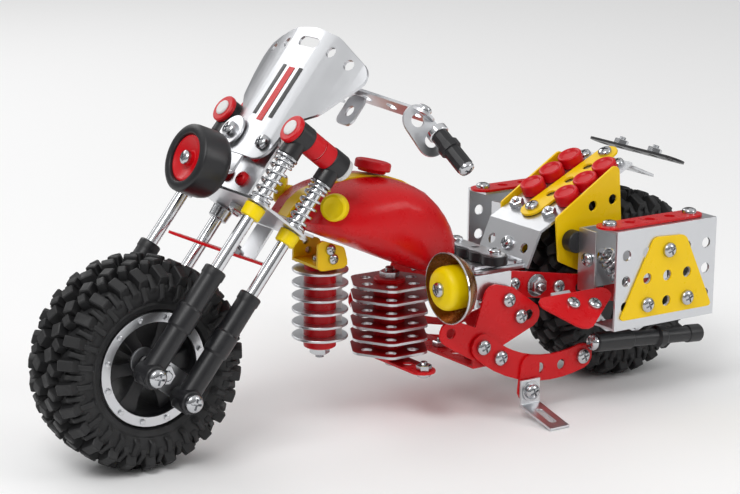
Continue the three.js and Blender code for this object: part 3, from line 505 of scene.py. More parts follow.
def make_tyre():
    """Carcass with a bulged side wall, chunky tread blocks and side-wall lugs."""
    half = [(20.9, 11.2), (21.6, 12.6), (23.4, 13.4), (24.2, 13.2), (26.5, 14.3), (29.5, 14.2), (32.3, 12.2),
            (33.6, 8), (33.9, 3)]
    outline = half + [(r, -z) for r, z in reversed(half)]
    carcass = spun("tyre", outline, 54)
    block = make_lug("block", 5.6, 5.4, 5.0)
    wedge = make_lug("wedge", 3.6, 5.2, 5.0)
    shoulder = make_lug("shoulder", 4.6, 7.8, 5.4)
    rib = make_lug("rib", 2.6, 7.6, 2.2, 0.66)
    parts = [carcass]
    step = math.tau / LUG_COUNT
    for i in range(LUG_COUNT):
        for side in (1, -1):
            angle = (i + (0.5 if side < 0 else 0)) * step

            def ring(turn, radius, height, tilt, skew):
                return (Matrix.Rotation(turn, 4, "Z") @ Matrix.Translation((radius, 0, side * height))
                        @ Matrix.Rotation(side * tilt, 4, "Y") @ Matrix.Rotation(math.pi / 2, 4, "Y")
                        @ Matrix.Rotation(math.pi / 2 + side * skew, 4, "Z"))

            lean = -math.radians(42)
            parts.append(copied(block, ring(angle, WHEEL_R - 2.4, 3.6, 0, 0.5)))
            parts.append(copied(wedge, ring(angle + step * 0.52, WHEEL_R - 2.5, 6.6, -0.08, -0.55)))
            parts.append(copied(shoulder, ring(angle + step * 0.18, WHEEL_R - 4.4, 11.4, lean * 0.75, 0.15)))
            parts.append(copied(rib, ring(angle + step * 0.68, WHEEL_R - 6.0, 13.0, lean * 1.3, 0)))
            parts.append(copied(rib, ring(angle + step * 0.18, WHEEL_R - 9.2, 14.0, lean * 1.85, 0)))
    drop(block, wedge, shoulder, rib)
    return smooth(joined("tyre", parts), 30)


def make_rim():
    """Black barrel with wide recessed spokes and a hub."""
    barrel = spun("barrel", [
        (20.8, -11.2), (20.8, 11.2), (17.2, 11.2), (16.7, 9), (16.9, -9), (17.2, -11.2),
    ], 48)
    parts = [softened(barrel, 0.3)]
    for i in range(6):
        spoke = slab("spoke", [(4, -2.2), (11, -2.5), (17, -4.2), (17, 4.2), (11, 2.5), (4, 2.2)], 15)
        spoke.data.transform(Matrix.Rotation(i * math.tau / 6, 4, "Z") @ Matrix.Translation((0, 0, -7.5)))
        parts.append(softened(spoke, 0.5, 3))
    hub = turned("hub", [(5.2, -11.3), (5.8, -10.6), (5.8, 10.6), (5.2, 11.3), (3.6, 11.3), (3.4, 10.2)], 28)
    parts.append(softened(hub, 0.2))
    return joined("rim", parts)


def make_clamp_ring():
    """Bright clamp ring with a round of small bolts, on one face of the wheel."""
    ring = softened(spun("clamp", [(16.9, 11.2), (20.4, 11.2), (20.4, 12.3), (16.9, 12.3)], 56), 0.18)
    stud = turned("stud", [(1.05, 12.2), (1.05, 12.9), (0.6, 13.15)], 8)
    smooth(stud)
    out_to = Matrix.Translation((18.6, 0, 0))
    studs = [copied(stud, Matrix.Rotation((i + 0.5) * math.tau / 12, 4, "Z") @ out_to) for i in range(12)]
    drop(stud)
    return joined("clamp", [ring, *studs])


TYRE = make_tyre()
RIM = make_rim()
CLAMP = make_clamp_ring()
for name, hub in (("front", FRONT_HUB), ("rear", REAR_HUB)):
    body = f"{name}_wheel"
    fit(copied(TYRE, name=f"{name}_tyre_lugged"), hub, RUBBER, body, [f"{name}_tyre"])
    fit(copied(RIM, name=f"{name}_rim_spoked"), hub, BLACK, body, [f"{name}_rim"])
    for side_name, side in SIDES:
        flip = Matrix.Rotation(0 if side > 0 else math.pi, 4, "X")
        fit(copied(CLAMP, flip, f"{name}_clamp_ring_{side_name}"), hub, SHEET_STEEL, body)
drop(TYRE, RIM, CLAMP)

# ---------------------------------------------------------------- front fork
LEG_Y = 22.5
LEG_X = {"front": LEG_SETBACK + 9, "rear": LEG_SETBACK - 9}
LEG_TOP = 39.5
ROD_R = 2.25
YOKE_Z = YOKE_TOP - SHEET
SPRING_LEN = 18.4
CROWN_Z = YOKE_TOP + 0.3 + SPRING_LEN + 0.3
BARREL_Z = CROWN_Z + 8.6

TUBE = softened(turned("fork_tube", [
    (3.2, -7.4), (3.7, -6.6), (3.9, -5.6), (3.9, 15), (4.3, 15.4), (4.5, 16), (4.5, 23), (4.3, 23.6),
    (3.9, 24), (3.8, 36), (4.1, 36.5), (4.1, 39), (3.7, LEG_TOP), (2.6, LEG_TOP), (2.5, LEG_TOP - 1),
], 28), 0.12)
BOSS = softened(turned("fork_boss", [(3.8, -4.3), (4.2, -3.8), (4.2, 4.6), (3.8, 5.1), (2.9, 5.1)], 28), 0.12)
BOSS_Z = -3
ROD = softened(turned("fork_rod", [(ROD_R, LEG_TOP - 2), (ROD_R, CROWN_Z - 0.3)], 24), 0.2)
STOP = softened(turned("fork_stop", [
    (3.2, YOKE_Z - 5.1), (3.6, YOKE_Z - 4.8), (3.9, YOKE_Z - 0.6), (3.6, YOKE_Z - 0.3),
], 28), 0.15)
EYELET = softened(turned("fork_eyelet", [(4.5, -3.4), (4.8, -3.0), (4.8, 3.0), (4.5, 3.4)], 28), 0.15)
EYELET.data.transform(turn_to(AHEAD, (0, 0, BARREL_Z)))
NECK = softened(turned("fork_neck", [(3.6, CROWN_Z), (3.9, CROWN_Z + 0.5), (3.7, BARREL_Z - 1)], 24), 0.15)


def coil(name, radius, wire, length, turns, closed=1.0):
    """A compression spring about Z from 0 to its length, with close-wound ends."""
    curve = bpy.data.curves.new(name, "CURVE")
    curve.dimensions = "3D"
    steps = int(turns * 16)
    spline = curve.splines.new("POLY")
    spline.points.add(steps)
    rise = []
    height = 0.0
    for i in range(steps + 1):
        turn = i / 16
        near_end = turn < closed or turn > turns - closed
        rise.append(height)
        height += 0.35 if near_end else 1.0
    for i, point in enumerate(spline.points):
        angle = i / 16 * math.tau
        z = wire + rise[i] / rise[-1] * (length - 2 * wire)
        point.co = (radius * math.cos(angle), radius * math.sin(angle), z, 1)
    curve.bevel_depth = wire
    curve.bevel_resolution = 2
    curve.use_fill_caps = True
    obj = bpy.data.objects.new(name, curve)
    bpy.context.scene.collection.objects.link(obj)
    use(obj)
    bpy.ops.object.convert(target="MESH")
    return smooth(tidy(named(name)), 50)


SPRING = coil("fork_coil", 3.4, 0.55, SPRING_LEN - 1.2, 6.5)
CUP = softened(turned("spring_cup", [(4.2, 0), (4.2, 0.7), (3.4, 1.0), (2.6, 1.0)], 24), 0.12)
for side_name, side in SIDES:
    for end, x in LEG_X.items():
        spot = Matrix.Translation((x, side * LEG_Y, 0))
        tag = f"{end}_{side_name}"
        boss = copied(BOSS, spot @ turn_to(LEFT * side, (0, 0, BOSS_Z)), f"fork_boss_{tag}")
        fit(copied(TUBE, spot, f"fork_tube_{tag}"), FORK, BLACK, "fork", [f"fork_leg_{tag}"])
        fit(boss, FORK, BLACK, "fork")
        fasten(SCREW, FORK, (x, side * (LEG_Y + 5.0), BOSS_Z), LEFT * side, "fork", 1.2)
        fit(copied(ROD, spot, f"fork_rod_{tag}"), FORK, CHROME, "fork")
        stop = copied(STOP, spot, f"fork_stop_{tag}")
        fit(stop, FORK, YELLOW_PLASTIC if side > 0 else ZINC, "fork")
        fit(copied(EYELET, spot, f"crown_eyelet_{tag}"), FORK, BLACK, "fork")
        fit(copied(NECK, spot, f"crown_neck_{tag}"), FORK, BLACK, "fork")
        spring = copied(SPRING, spot @ Matrix.Translation((0, 0, YOKE_TOP + 0.6)), f"fork_coil_{tag}")
        fit(spring, FORK, CHROME, "steering", [f"fork_spring_{tag}"])
        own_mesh(spring)
        low_cup = spot @ Matrix.Translation((0, 0, YOKE_TOP + 0.1))
        fit(copied(CUP, low_cup, f"spring_seat_{tag}"), FORK, ZINC, "steering")
        high_cup = spot @ Matrix.Translation((0, 0, CROWN_Z - 0.1)) @ Matrix.Rotation(math.pi, 4, "X")
        fit(copied(CUP, high_cup, f"spring_cap_{tag}"), FORK, ZINC, "fork")
    # crown: spacers and end caps threaded on a bolt through both eyelets
    rear_x, front_x = LEG_X["rear"], LEG_X["front"]
    gap = 3.4
    parts = (
        ("crown_spacer_rear", [(4.5, rear_x + gap), (4.5, -2.05)], RED_PLASTIC),
        ("crown_spacer_front", [(4.5, -1.75), (4.5, front_x - gap)], RED_PLASTIC),
        ("crown_line", [(4.2, -2.05), (4.2, -1.75)], WHITE_PLASTIC),
        ("crown_flange", [(4.7, front_x + gap), (5.2, front_x + gap + 0.3), (5.2, front_x + gap + 1.5),
                          (4.7, front_x + gap + 1.9)], RED_PLASTIC),
        ("crown_button", [
            (2.9, front_x + gap + 1.8), (2.9, front_x + gap + 2.3), (2.2, front_x + gap + 2.7),
        ], WHITE_PLASTIC),
        ("crown_cap", [
            (3.6, rear_x - gap - 2.4), (4.3, rear_x - gap - 1.8), (4.3, rear_x - gap),
        ], WHITE_PLASTIC),
    )
    for part, rings, surface in parts:
        made = turned(f"{part}_{side_name}", rings, 28)
        softened(made, 0.15)
        made.data.transform(turn_to(AHEAD, (0, side * LEG_Y, BARREL_Z)))
        stands_for = [f"fork_crown_{side_name}"] if part == "crown_flange" else ()
        fit(made, FORK, surface, "fork", stands_for)
    # hub strip between the legs and the wheel, and the axle's nut on it
    hub_strip = softened(drilled(strip(f"hub_strip_{side_name}", 30), [(-10, 0), (0, 0), (10, 0)]))
    at = Matrix.Translation((LEG_SETBACK, side * 16.9, 0)) @ Matrix.Rotation(math.pi / 2, 4, "X")
    fit(hub_strip, FORK, SHEET_STEEL, "fork", at=at)
    fasten(NUT, FORK, (0, side * 18.1, 0), LEFT * side, "fork", 1.25)
drop(TUBE, BOSS, ROD, STOP, EYELET, NECK, SPRING, CUP)

# ---------------------------------------------------------------- steering head
SHIELD_X = 12.8
SHIELD_BEND_R = 75
SHIELD_FOOT = 13.5
STRIPES_Z = 41.5
PRINT_LIFT = 0.06


def on_shield(obj, lift):
    """Lays a flat piece drawn in Y and Z on the windshield's curved front."""
    for vertex in obj.data.vertices:
        y, z, up = vertex.co
        bow = math.sqrt(SHIELD_BEND_R ** 2 - y * y) - SHIELD_BEND_R
        vertex.co = (SHIELD_X + bow + lift + up, y, z + STRIPES_Z)
    return tidy(obj)


def print_stripe(name, outline, surface):
    """A thin printed stripe, cut across so that it follows the windshield."""
    obj = slab(name, outline, 0.05)
    low = min(x for x, _ in outline)
    wide = max(x for x, _ in outline) - low
    for i in range(1, 5):
        pick(obj, "vertices", lambda vertex: True)
        bpy.ops.mesh.bisect(plane_co=(low + wide * i / 5, 0, 0), plane_no=(1, 0, 0))
        done()
    on_shield(obj, PRINT_LIFT)
    fit(obj, HEAD, surface, "steering")


# plain racing stripes: (middle, half width, low, high), measured from the stripes' middle height
for row, (y, half, low, high, surface) in enumerate((
        (0, 1.8, -14, 8.5, RED), (-5.2, 1.1, -12, 9, BLACK_PRINT), (5.2, 1.1, -12, 9, BLACK_PRINT))):
    corners = [(y - half, low), (y + half, low), (y + half, high), (y - half, high)]
    print_stripe(f"shield_stripe_{row}", corners, surface)

for side_name, side in SIDES:
    fasten(SCREW, HEAD, (SHIELD_X - 0.2, side * PITCH, SHIELD_FOOT + 6.5), AHEAD, "steering")
washer_at = (SHIELD_X + 0.2, -PITCH, SHIELD_FOOT + 7.0)
disc = softened(turned("shield_washer", [(5.8, 0), (6.2, 0.2), (6.2, 1.0), (5.8, 1.2)], 32), 0.12)
fit(disc, HEAD, SHEET_STEEL, "steering", at=turn_to(AHEAD, washer_at))
fasten(SCREW, HEAD, (SHIELD_X + 1.4, -PITCH, SHIELD_FOOT + 7.0), AHEAD, "steering", 1.1)
fasten(NUT, HEAD, (0, 0, -SHEET), -UP, "steering", 1.1)
for y in (-5, 5):
    for z in (6.3, 16.3):
        place = turn_to(AHEAD, (8.3, y, z)) @ Matrix.Scale(0.95, 4)
        head = copied(SCREW, place, f"red_screw_{y + 5}_{int(z)}")
        fit(head, HEAD, RED_PLASTIC, "steering")

# headlight: drum, recessed bowl and its screw
RAKE = math.radians(38.5)
LAMP_PITCH = math.radians(22)
LAMP_TILT = RAKE - LAMP_PITCH
LAMP = HEAD @ turn_to((math.cos(LAMP_TILT), 0, -math.sin(LAMP_TILT)), (18, 0, 4.4))
drum = turned("lamp_drum", [
    (9.4, 0), (10.6, 0.3), (11.8, 1.6), (12.25, 3.4), (12.3, 11.0), (12.1, 12.2), (11.4, 12.8), (10.0, 13.0),
    (8.9, 12.8), (8.5, 12.2), (8.3, 9.6),
], 48)
fit(softened(drum, 0.12), LAMP, BLACK, "steering", ["headlight"])
bowl = turned("lamp_bowl", [
    (8.35, 9.4), (8.35, 11.8), (7.7, 11.9), (6.0, 10.6), (3.4, 10.0), (2.8, 10.2), (2.6, 11.6),
], 40)
fit(softened(bowl, 0.1), LAMP, RED_PLASTIC, "steering")
fasten(SCREW, LAMP, (0, 0, 11.6), UP, "steering", 0.95)
lamp_arm = softened(bent("lamp_arm", [(13.2, 13.2), (13.2, 6.5), (19, 2)], 8))
fit(lamp_arm, HEAD, SHEET_STEEL, "steering")

# red pennant behind the windshield, on the right
red_tip = slab("pennant", [(-2.5, -6), (2.5, -6), (0, 6)], 0.8, 0.8)
fit(softened(red_tip), HEAD, RED_PLASTIC, "steering", at=turn_to(AHEAD, (1.5, -31, 37)))

# ---------------------------------------------------------------- handlebars
BAR_IN = Vector((-5.2, 5.3, 54.5))
BAR_OUT = Vector((-18, 39, 57.5))
GRIP_TIP = Vector((-30.5, 60, 47.3))


def swung(x, y, z, at=(0, 0, 0)):
    """Matrix that lays local X, Y and Z along the given axes, at a point."""
    return Matrix.Translation(at) @ Matrix((x, y, z)).transposed().to_4x4()


LINK_AT = Vector((-21.5, 38.5, 51.8))
LINK_ALONG = Vector((-0.86, 0.35, -0.38)).normalized()


def on_side(vector, side):
    return Vector((vector.x, side * vector.y, vector.z))


for side_name, side in SIDES:
    bar_in, bar_out, tip = (on_side(spot, side) for spot in (BAR_IN, BAR_OUT, GRIP_TIP))
    droop = (tip - bar_out).normalized()
    along = on_side(LINK_ALONG, side)
    out = (LEFT * side - along * along.dot(LEFT * side)).normalized()
    link = softened(drilled(strip(f"bar_link_{side_name}", 20, 11), [(-4.3, 0), (4.3, 0)], 2.4))
    lie = swung(along, out.cross(along), out, on_side(LINK_AT, side) + out * 3.6)
    fit(link, HEAD, SHEET_STEEL, "steering", at=lie)
    fasten(SCREW, HEAD, bar_out + UP * 1.2, UP, "steering", 0.95)
    fasten(SCREW, HEAD, tip, droop, "steering", 1.05)
    collar = softened(turned(f"grip_collar_{side_name}", [
        (3.3, -1.4), (3.9, -1.0), (3.9, 1.0), (3.3, 1.4),
    ], 24))
    fit(collar, HEAD, CHROME, "steering", at=turn_to(droop, bar_out + droop * 9.5))
    fasten(SCREW, HEAD, bar_in + UP * 1.2, UP, "steering", 0.9)
hanger = softened(drilled(slab("bar_hanger", [(-5, -9), (5, -9), (5, 3), (-5, 3)], SHEET, 3), [(0, -3.5)]))
fit(hanger, HEAD, SHEET_STEEL, "steering", at=swung(LEFT, UP, AHEAD, (-8.7, 15, 51)))
fasten(SCREW, HEAD, (-9.4, 0, 2.4), UP, "chassis", 0.9)

# mudguard: red blade on a bright hanger
blade = refined("mudguard", RED)
blade.data.materials.append(SHEET_STEEL)
to_head = HEAD.inverted()
for face in blade.data.polygons:
    if (to_head @ face.center).z > -14:
        face.material_index = 1
fasten(NUT, HEAD, (-8.2, 0, -16.2), UP, "steering", 1.1)

# ---------------------------------------------------------------- tank
# from axle level and the front of the rear tyre
CRADLE = BIKE @ Matrix.Translation((WHEEL_R, 0, WHEEL_R))
SEAM_LOW = 41
core = refined("tank_core", YELLOW)
core.data.materials.append(RED)
to_cradle = CRADLE.inverted()
for face in core.data.polygons:
    if (to_cradle @ face.center).z < SEAM_LOW:
        face.material_index = 1
CAP_TILT = math.radians(13)
cap = turned("filler_cap_knob", [
    (4.8, 0), (5.2, 0.3), (5.3, 0.9), (6.5, 1.1), (6.8, 1.5), (6.8, 3.7), (6.4, 4.3), (5.4, 4.6), (4.8, 4.5),
    (4.3, 4.1), (3.0, 4.0),
], 36)
CAP = CRADLE @ Matrix.Translation((79, 0, 56.4)) @ Matrix.Rotation(-CAP_TILT, 4, "Y")
fit(softened(cap, 0.12), CAP, RED_PLASTIC, "chassis", ["filler_cap"])
for side_name, side in SIDES:
    stud = turned(f"tank_stud_{side_name}", [
        (2.2, -3), (2.2, 0), (4.5, 0.3), (5.0, 0.8), (5.0, 3.4), (4.6, 4.1), (3.8, 4.4), (3.0, 3.9),
        (1.4, 3.8),
    ], 32)
    place = turn_to((0.75, side * 0.6, 0.15), (142.6, side * 16.4, 86.8))
    fit(softened(stud, 0.12), BIKE, YELLOW_PLASTIC, "chassis", at=place)

# ---------------------------------------------------------------- engine
FRONT_ENGINE = CRADLE @ Matrix.Translation((101.2, 0, 0))
barrel = softened(turned("front_barrel", [(5.4, -6.5), (6, -6.1), (6, 24.6), (5.6, 25)], 32))
fit(barrel, FRONT_ENGINE, RED_PLASTIC, "chassis", ["front_cylinder"])
FIN_COUNT = 6
FIN = softened(spun("front_fin", [
    (5.8, 0), (10.2, 0), (10.4, 0.25), (10.4, 0.75), (10.2, 1), (5.8, 1),
], 48), 0.08)
for i in range(FIN_COUNT):
    fin = copied(FIN, Matrix.Translation((0, 0, 22.3 - 5 * i)), f"front_fin_{i}")
    fit(fin, FRONT_ENGINE, SHEET_STEEL, "chassis")
bar = slab("fin_bar", [(-1.3, -0.5), (1.3, -0.5), (1.3, 0.5), (-1.3, 0.5)], 27)
bar.data.transform(Matrix.Translation((-5.2, 4.4, -4)) @ Matrix.Rotation(math.radians(-40), 4, "Z"))
fit(softened(bar), FRONT_ENGINE, WHITE_PLASTIC, "chassis")
fasten(SCREW, FRONT_ENGINE, (0, 0, 26.2), UP, size=1.1)
fasten(NUT, FRONT_ENGINE, (0, 0, -6.4), -UP, size=1.2)
drop(FIN)

REAR_ENGINE = CRADLE @ Matrix.Translation((70.2, 0, 0))
barrel = softened(turned("rear_barrel", [(5.6, -15.6), (6, -15.2), (6, 15.1), (5.6, 15.5)], 32))
fit(barrel, REAR_ENGINE, RED_PLASTIC, "chassis", ["rear_cylinder"])
HEX_R = 16.2
corners = [(HEX_R * math.cos(i * math.tau / 6), HEX_R * math.sin(i * math.tau / 6)) for i in range(6)]
hex_holes = [(10, 0), (-10, 0), (5, 8.7), (-5, 8.7), (5, -8.7), (-5, -8.7)]
HEX = softened(drilled(slab("hex_fin", corners, 1, 2.2), hex_holes), 0.08)
for i in range(FIN_COUNT):
    fin = copied(HEX, Matrix.Translation((0, 0, 13.2 - 5.08 * i)), f"hex_fin_{i}")
    fit(fin, REAR_ENGINE, DARK_RED, "chassis")
    fin.data.materials.append(SHEET_STEEL)
    for face in fin.data.polygons:
        face.material_index = 0 if abs(face.normal.z) > 0.9 else 1
fasten(NUT, REAR_ENGINE, (0, 0, 15.4), UP, size=1.2)
fasten(SCREW, REAR_ENGINE, (-2, 0, -16.9), -UP, size=1.1)
for y in (-20, 20):
    fasten(NUT, REAR_ENGINE, (-2, y, -15.9), UP, size=0.95)
    fasten(SCREW, REAR_ENGINE, (-2, y, -16.9), -UP, size=0.95)
drop(HEX)
for _, side in SIDES:
    for x, z in ((101.4, 28.4), (102.6, 32)):
        fasten(SCREW, CRADLE, (x, side * 8.5, z), LEFT * side, size=0.72)
for y in (-20, 0, 20):
    fasten(SCREW, CRADLE, (46, y, -16.1), -UP, size=0.95)
    fasten(NUT, CRADLE, (46, y, -15), UP, size=0.95)

# air cleaner: dish with a bright rim, a yellow dome and its bracket
DISH = CRADLE @ turn_to(AHEAD, (59.5, 34.4, 18.6))
dish = turned("air_dish", [
    (3.6, 0), (7.5, 1.5), (11, 4.4), (12.7, 7.4), (13.2, 8.9), (13.2, 9.3), (12.9, 9.4), (12.3, 8.0),
    (10.6, 5.3), (8.6, 3.8), (6, 3.0),
], 48)
fit(smooth(dish, 40), DISH, GILT, "chassis", ["air_cleaner"])
rim = softened(spun("air_dish_rim", [(12.9, 8.9), (13.35, 8.9), (13.35, 9.6), (12.9, 9.6)], 56), 0.12)
fit(rim, DISH, CHROME, "chassis")
dome = turned("air_dome", [
    (8.0, 3.2), (8.2, 6.4), (8.2, 9.8), (7.9, 11.2), (7.2, 12.2), (6.0, 12.8), (2.6, 12.9),
], 40)
fit(smooth(dome, 50), DISH, YELLOW_PLASTIC, "chassis")
fasten(SCREW, DISH, (0, 0, 12.8), UP, size=1.0)
arm = softened(bent("air_bracket", [(10.4, 0), (0, 0), (0, -24)], 9))
fit(arm, CRADLE, SHEET_STEEL, "chassis", at=swung(LEFT, UP, AHEAD, (58.2, 27.6, 14.4)))

# ---------------------------------------------------------------- plates, strips and their screws, both sides
CRANK_Y = 30             # outer faces, from the middle
ARC_Y = 31.3
STAY_Y = 21
PLATE_Y = 17.4
PANEL_Y = 46.2
BOARD_Y = 35.8
BOARD_TILT = 0.6
EXHAUST_FALL = 0.08
for side_name, side in SIDES:
    out = LEFT * side
    for x, z in ((37.3, 8.8), (31.5, 1.7)):
        fasten(SCREW, CRADLE, (x, side * CRANK_Y, z), out)
    for x, z in ((49.6, -7.3), (41.5, -12.6), (1.7, -18.2)):
        fasten(SCREW, CRADLE, (x, side * ARC_Y, z), out, size=1.05)
    for x, z in ((65.3, 48.9), (43.5, 45)):
        fasten(SCREW, BIKE, (x, side * STAY_Y, z), out, size=0.95)
    fasten(WASHER, BIKE, (54.4, side * STAY_Y, 47), out, size=1.0)
    fasten(NUT, BIKE, (54.4, side * 21.7, 47), out, size=1.1)
    fasten(NUT, BIKE, (0, side * 23.2, WHEEL_R), out, size=1.2)
    # footboard with its angle
    board = CRADLE @ Matrix.Translation((0, side * BOARD_Y, 6.2))
    board = board @ Matrix.Rotation(-side * BOARD_TILT, 4, "X")
    for x, y in ((13, 2.5), (4, 4.5)):
        fasten(SCREW, board, (x, side * y, 1), UP, size=0.95)
        fasten(NUT, board, (x, side * y, 0), -UP, size=0.95)
    angle = softened(bent(f"board_angle_{side_name}", [(0, -6), (0, 1.5), (7, -3.2)], 9))
    fit(angle, CRADLE, SHEET_STEEL, "chassis", at=swung(out, AHEAD, UP, (13, side * 30.5, 7.2)))
    # exhaust with its collars
    pipe = turned(f"exhaust_pipe_{side_name}", [
        (2.4, 0.8), (3.0, 0), (3.5, 0.2), (3.8, 0.8), (3.8, 17.6), (3.4, 18), (3.1, 18.2), (3.1, 30.8),
        (3.6, 31), (4.3, 31.5), (4.3, 34.5), (3.9, 35), (3.1, 35.2), (3.1, 47), (3.5, 47.4), (3.5, 53.4),
        (3.1, 54), (2.3, 54), (2.2, 50),
    ], 32)
    fall = Vector((-math.cos(EXHAUST_FALL), 0, -math.sin(EXHAUST_FALL)))
    pipe_end = (37.3, side * 36, 25.4)
    fit(softened(pipe, 0.1), BIKE, BLACK, "chassis", [f"exhaust_{side_name}"], at=turn_to(fall, pipe_end))
    fasten(SCREW, BIKE, pipe_end, AHEAD, size=1.1)
    # yellow side plate: its spacer
    spacer = softened(turned(f"plate_spacer_{side_name}", [(3.9, 0), (4.3, 0.4), (4.3, 4.5), (3.9, 4.9)], 28))
    fit(spacer, BIKE, BLACK, "chassis", at=turn_to(out, (35.3, side * PLATE_Y, 61.3)))
    # pannier: badge, top strip and shock
    corners = [(34.6, 35.6), (18.4, 66.3), (2.6, 65.5), (-12.2, 35.4)]
    badge = slab(f"pannier_badge_{side_name}", corners, 0.8, 2.2)
    open_holes = [(21.3, 50.55), (11.3, 50.55), (1.3, 50.55), (11.3, 40.55)]
    softened(drilled(badge, open_holes))
    fit(badge, BIKE, YELLOW, "chassis", at=swung(AHEAD, UP, out, (0, side * (PANEL_Y + 0.05), 0)))
    for x, z in ((11.3, 60.55), (21.3, 40.55), (1.3, 40.55)):
        fasten(SCREW, BIKE, (x, side * (PANEL_Y + 0.8), z), out, size=1.05)
    top_holes = [(i * PITCH, 0) for i in range(-2, 3)]
    top = softened(drilled(strip(f"pannier_top_strip_{side_name}", 50), top_holes))
    fit(top, BIKE, RED, "chassis", at=Matrix.Translation((14.3, side * 39, 70.3)))
    for x in (34.3, -5.7):
        fasten(SCREW, BIKE, (x, side * 39, 71.3), UP, size=1.0)
    shock = Vector((-0.62, 0, -0.78)).normalized()
    at = turn_to(shock, (28, side * 29.5, 57.5))
    fit(coil(f"shock_coil_{side_name}", 3.3, 0.6, 26, 8), BIKE, CHROME, "chassis", at=at)
    shock_rod = turned(f"shock_rod_{side_name}", [(1.4, -2), (1.7, -1.6), (1.7, 27.6), (1.4, 28)], 16)
    fit(softened(shock_rod), BIKE, ZINC, "chassis", at=at)
    fasten(SCREW, BIKE, (35.3, side * (22.3 + 6), 56), AHEAD, size=0.9)

# kickstand: washer and screw on its stub
fasten(WASHER, CRADLE, (28.5, 33.9, -27), LEFT, "kickstand", 0.9)
fasten(SCREW, CRADLE, (28.5, 34.5, -27), LEFT, "kickstand", 1.05)

# ---------------------------------------------------------------- seat
SEAT = CRADLE @ Matrix.Translation((30.2, 0, 21.2))
top = drilled(strip("seat_top_strip", 33, 6.4, 0.8), [(x, 0) for x in (-12, 0, 12)], 1.7)
fit(softened(top), SEAT, SHEET_STEEL, "chassis", at=Matrix.Rotation(math.pi / 2, 4, "Z"))
for y in (-12, 12):
    fasten(SCREW, SEAT, (0, y, 0.8), UP, size=0.9)
for layer, (long, wide, x, z) in enumerate(((30, 24, 0, -4.7), (24, 30, -2, -5.9))):
    under = strip(f"seat_plate_{layer}", long, wide, SHEET, 3)
    drilled(under, [(i * PITCH, j * PITCH) for i in (-1, 1) for j in (-1, 1)])
    fit(softened(under), SEAT, SHEET_STEEL, "chassis", at=Matrix.Translation((x, 0, z)))

# ---------------------------------------------------------------- rack
SLOPE = BIKE @ Matrix.Translation((48.5, 0, 66)) @ Matrix.Rotation(math.radians(26), 4, "Y")
LIP = SLOPE @ Matrix.Rotation(math.radians(40), 4, "Y")
KNOB = turned("rack_stud", [
    (4.6, 0), (4.9, 0.35), (4.9, 4.0), (4.6, 4.45), (4.1, 4.6), (3.6, 4.4), (3.0, 3.8), (1.2, 3.7),
], 32)
softened(KNOB, 0.1)
for side_name, side in SIDES:
    for i, x in enumerate((-20, -30.3, -40.6)):
        stands_for = [f"knob_row_{side_name}"] if i == 0 else ()
        stud = copied(KNOB, Matrix.Translation((x, side * 10.4, 0.1)), f"rack_stud_{side_name}_{i}")
        fit(stud, SLOPE, RED_PLASTIC, "chassis", stands_for)
    fasten(NUT, SLOPE, (-10, side * 10, 0), UP, size=0.95)
    fasten(SCREW, SLOPE, (-47.2, side * 10, 0), UP, size=0.9)
drop(KNOB)
for x in (-10, -50):
    fasten(SCREW, SLOPE, (x, 0, 1.3), UP, size=1.0)
fasten(SCREW, LIP, (8, 0, 0), UP, size=1.0)
TAIL_TILT = 0.4
TAIL = CRADLE @ Matrix.Translation((-49.3, 0, 50.7)) @ Matrix.Rotation(-TAIL_TILT, 4, "Y")
for y in (-10, 10):
    fasten(NUT, TAIL, (0, y, SHEET), UP, size=0.95)
tail_plate = softened(drilled(slab("tail_plate", [(-12, -10), (3, -10), (3, 10), (-12, 10)], SHEET, 2.5),
                              [(-8, -5), (-8, 5)]))
tail_lie = Matrix.Translation((-3, 0, 83.5)) @ Matrix.Rotation(-TAIL_TILT, 4, "Y")
fit(tail_plate, BIKE, SHEET_STEEL, "chassis", at=tail_lie)

# ---------------------------------------------------------------- the remaining CAD pieces
stood_for = {n for o in bpy.data.objects if "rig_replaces" in o for n in o["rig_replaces"]}
for cad in sorted(NODES):
    if cad not in stood_for:
        refined(cad)

# ---------------------------------------------------------------- fasteners, joined by body
for (kind, body), copies in fasteners.items():
    group = joined(f"{kind}s_{body}", copies)
    fit(group, Matrix(), ZINC, body)
drop(SCREW, NUT, WASHER)

# ---------------------------------------------------------------- floor, light and camera
clear()
bpy.ops.mesh.primitive_plane_add(size=16)
floor = named("floor")
white = bpy.data.materials.new("floor_white")
white.use_nodes = True
white.node_tree.nodes["Principled BSDF"].inputs["Base Color"].default_value = (0.92, 0.92, 0.92, 1)
white.node_tree.nodes["Principled BSDF"].inputs["Roughness"].default_value = 0.7
floor.data.materials.append(white)


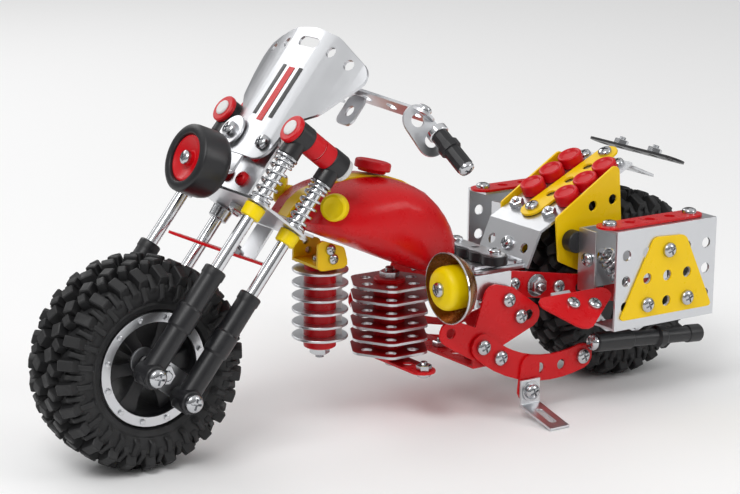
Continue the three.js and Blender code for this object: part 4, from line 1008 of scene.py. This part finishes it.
def soft_light(name, at, target, size, power):
    data = bpy.data.lights.new(name, "AREA")
    data.shape = "RECTANGLE"
    data.size, data.size_y = size
    data.energy = power
    obj = bpy.data.objects.new(name, data)
    bpy.context.scene.collection.objects.link(obj)
    obj.location = at
    obj.rotation_euler = (Vector(target) - Vector(at)).to_track_quat("-Z", "Y").to_euler()
    return obj


soft_light("key", (0.7, 0.45, 1.0), (0, 0, 0.05), (0.6, 0.45), 6.5)
soft_light("side", (-0.75, 0.9, 0.55), (0, 0, 0.05), (0.5, 0.5), 3)
soft_light("back", (0.1, -1.0, 0.7), (0, 0, 0.05), (1.0, 0.4), 3)

world = bpy.data.worlds.new("studio")
bpy.context.scene.world = world
world.use_nodes = True
sky = world.node_tree
coordinate = node(sky, "ShaderNodeTexCoord")
split = node(sky, "ShaderNodeSeparateXYZ")
sky.links.new(coordinate.outputs["Generated"], split.inputs["Vector"])
fade = node(sky, "ShaderNodeValToRGB")
fade.color_ramp.elements[0].position = 0.0
fade.color_ramp.elements[0].color = (0.1, 0.1, 0.105, 1)
fade.color_ramp.elements[1].position = 0.75
fade.color_ramp.elements[1].color = (1, 1, 1, 1)
sky.links.new(split.outputs["Z"], fade.inputs["Fac"])
sky.links.new(fade.outputs["Color"], sky.nodes["Background"].inputs["Color"])
sky.nodes["Background"].inputs["Strength"].default_value = 0.76

# Camera: left front quarter, a little above
AZIMUTH = math.radians(34.842)
DIP = math.radians(13.78)
ROLL = math.radians(0.697)
right = Vector((-math.cos(AZIMUTH), math.sin(AZIMUTH), 0))
forward = Vector((-math.sin(AZIMUTH) * math.cos(DIP), -math.cos(AZIMUTH) * math.cos(DIP), -math.sin(DIP)))
above = right.cross(forward)
camera_data = bpy.data.cameras.new("camera")
camera_data.lens = 111.93
camera_data.sensor_width = 36
camera_data.clip_start = 0.02
camera = bpy.data.objects.new("camera", camera_data)
bpy.context.scene.collection.objects.link(camera)
turn = Matrix((right, above, -forward)).transposed() @ Matrix.Rotation(ROLL, 3, "Z")
camera.matrix_world = Matrix.Translation((REAR_AXLE.x + 0.5881, 0.6775, 0.2679)) @ turn.to_4x4()
bpy.context.scene.camera = camera
bpy.context.scene.view_settings.view_transform = "Standard"

bpy.context.view_layer.update()
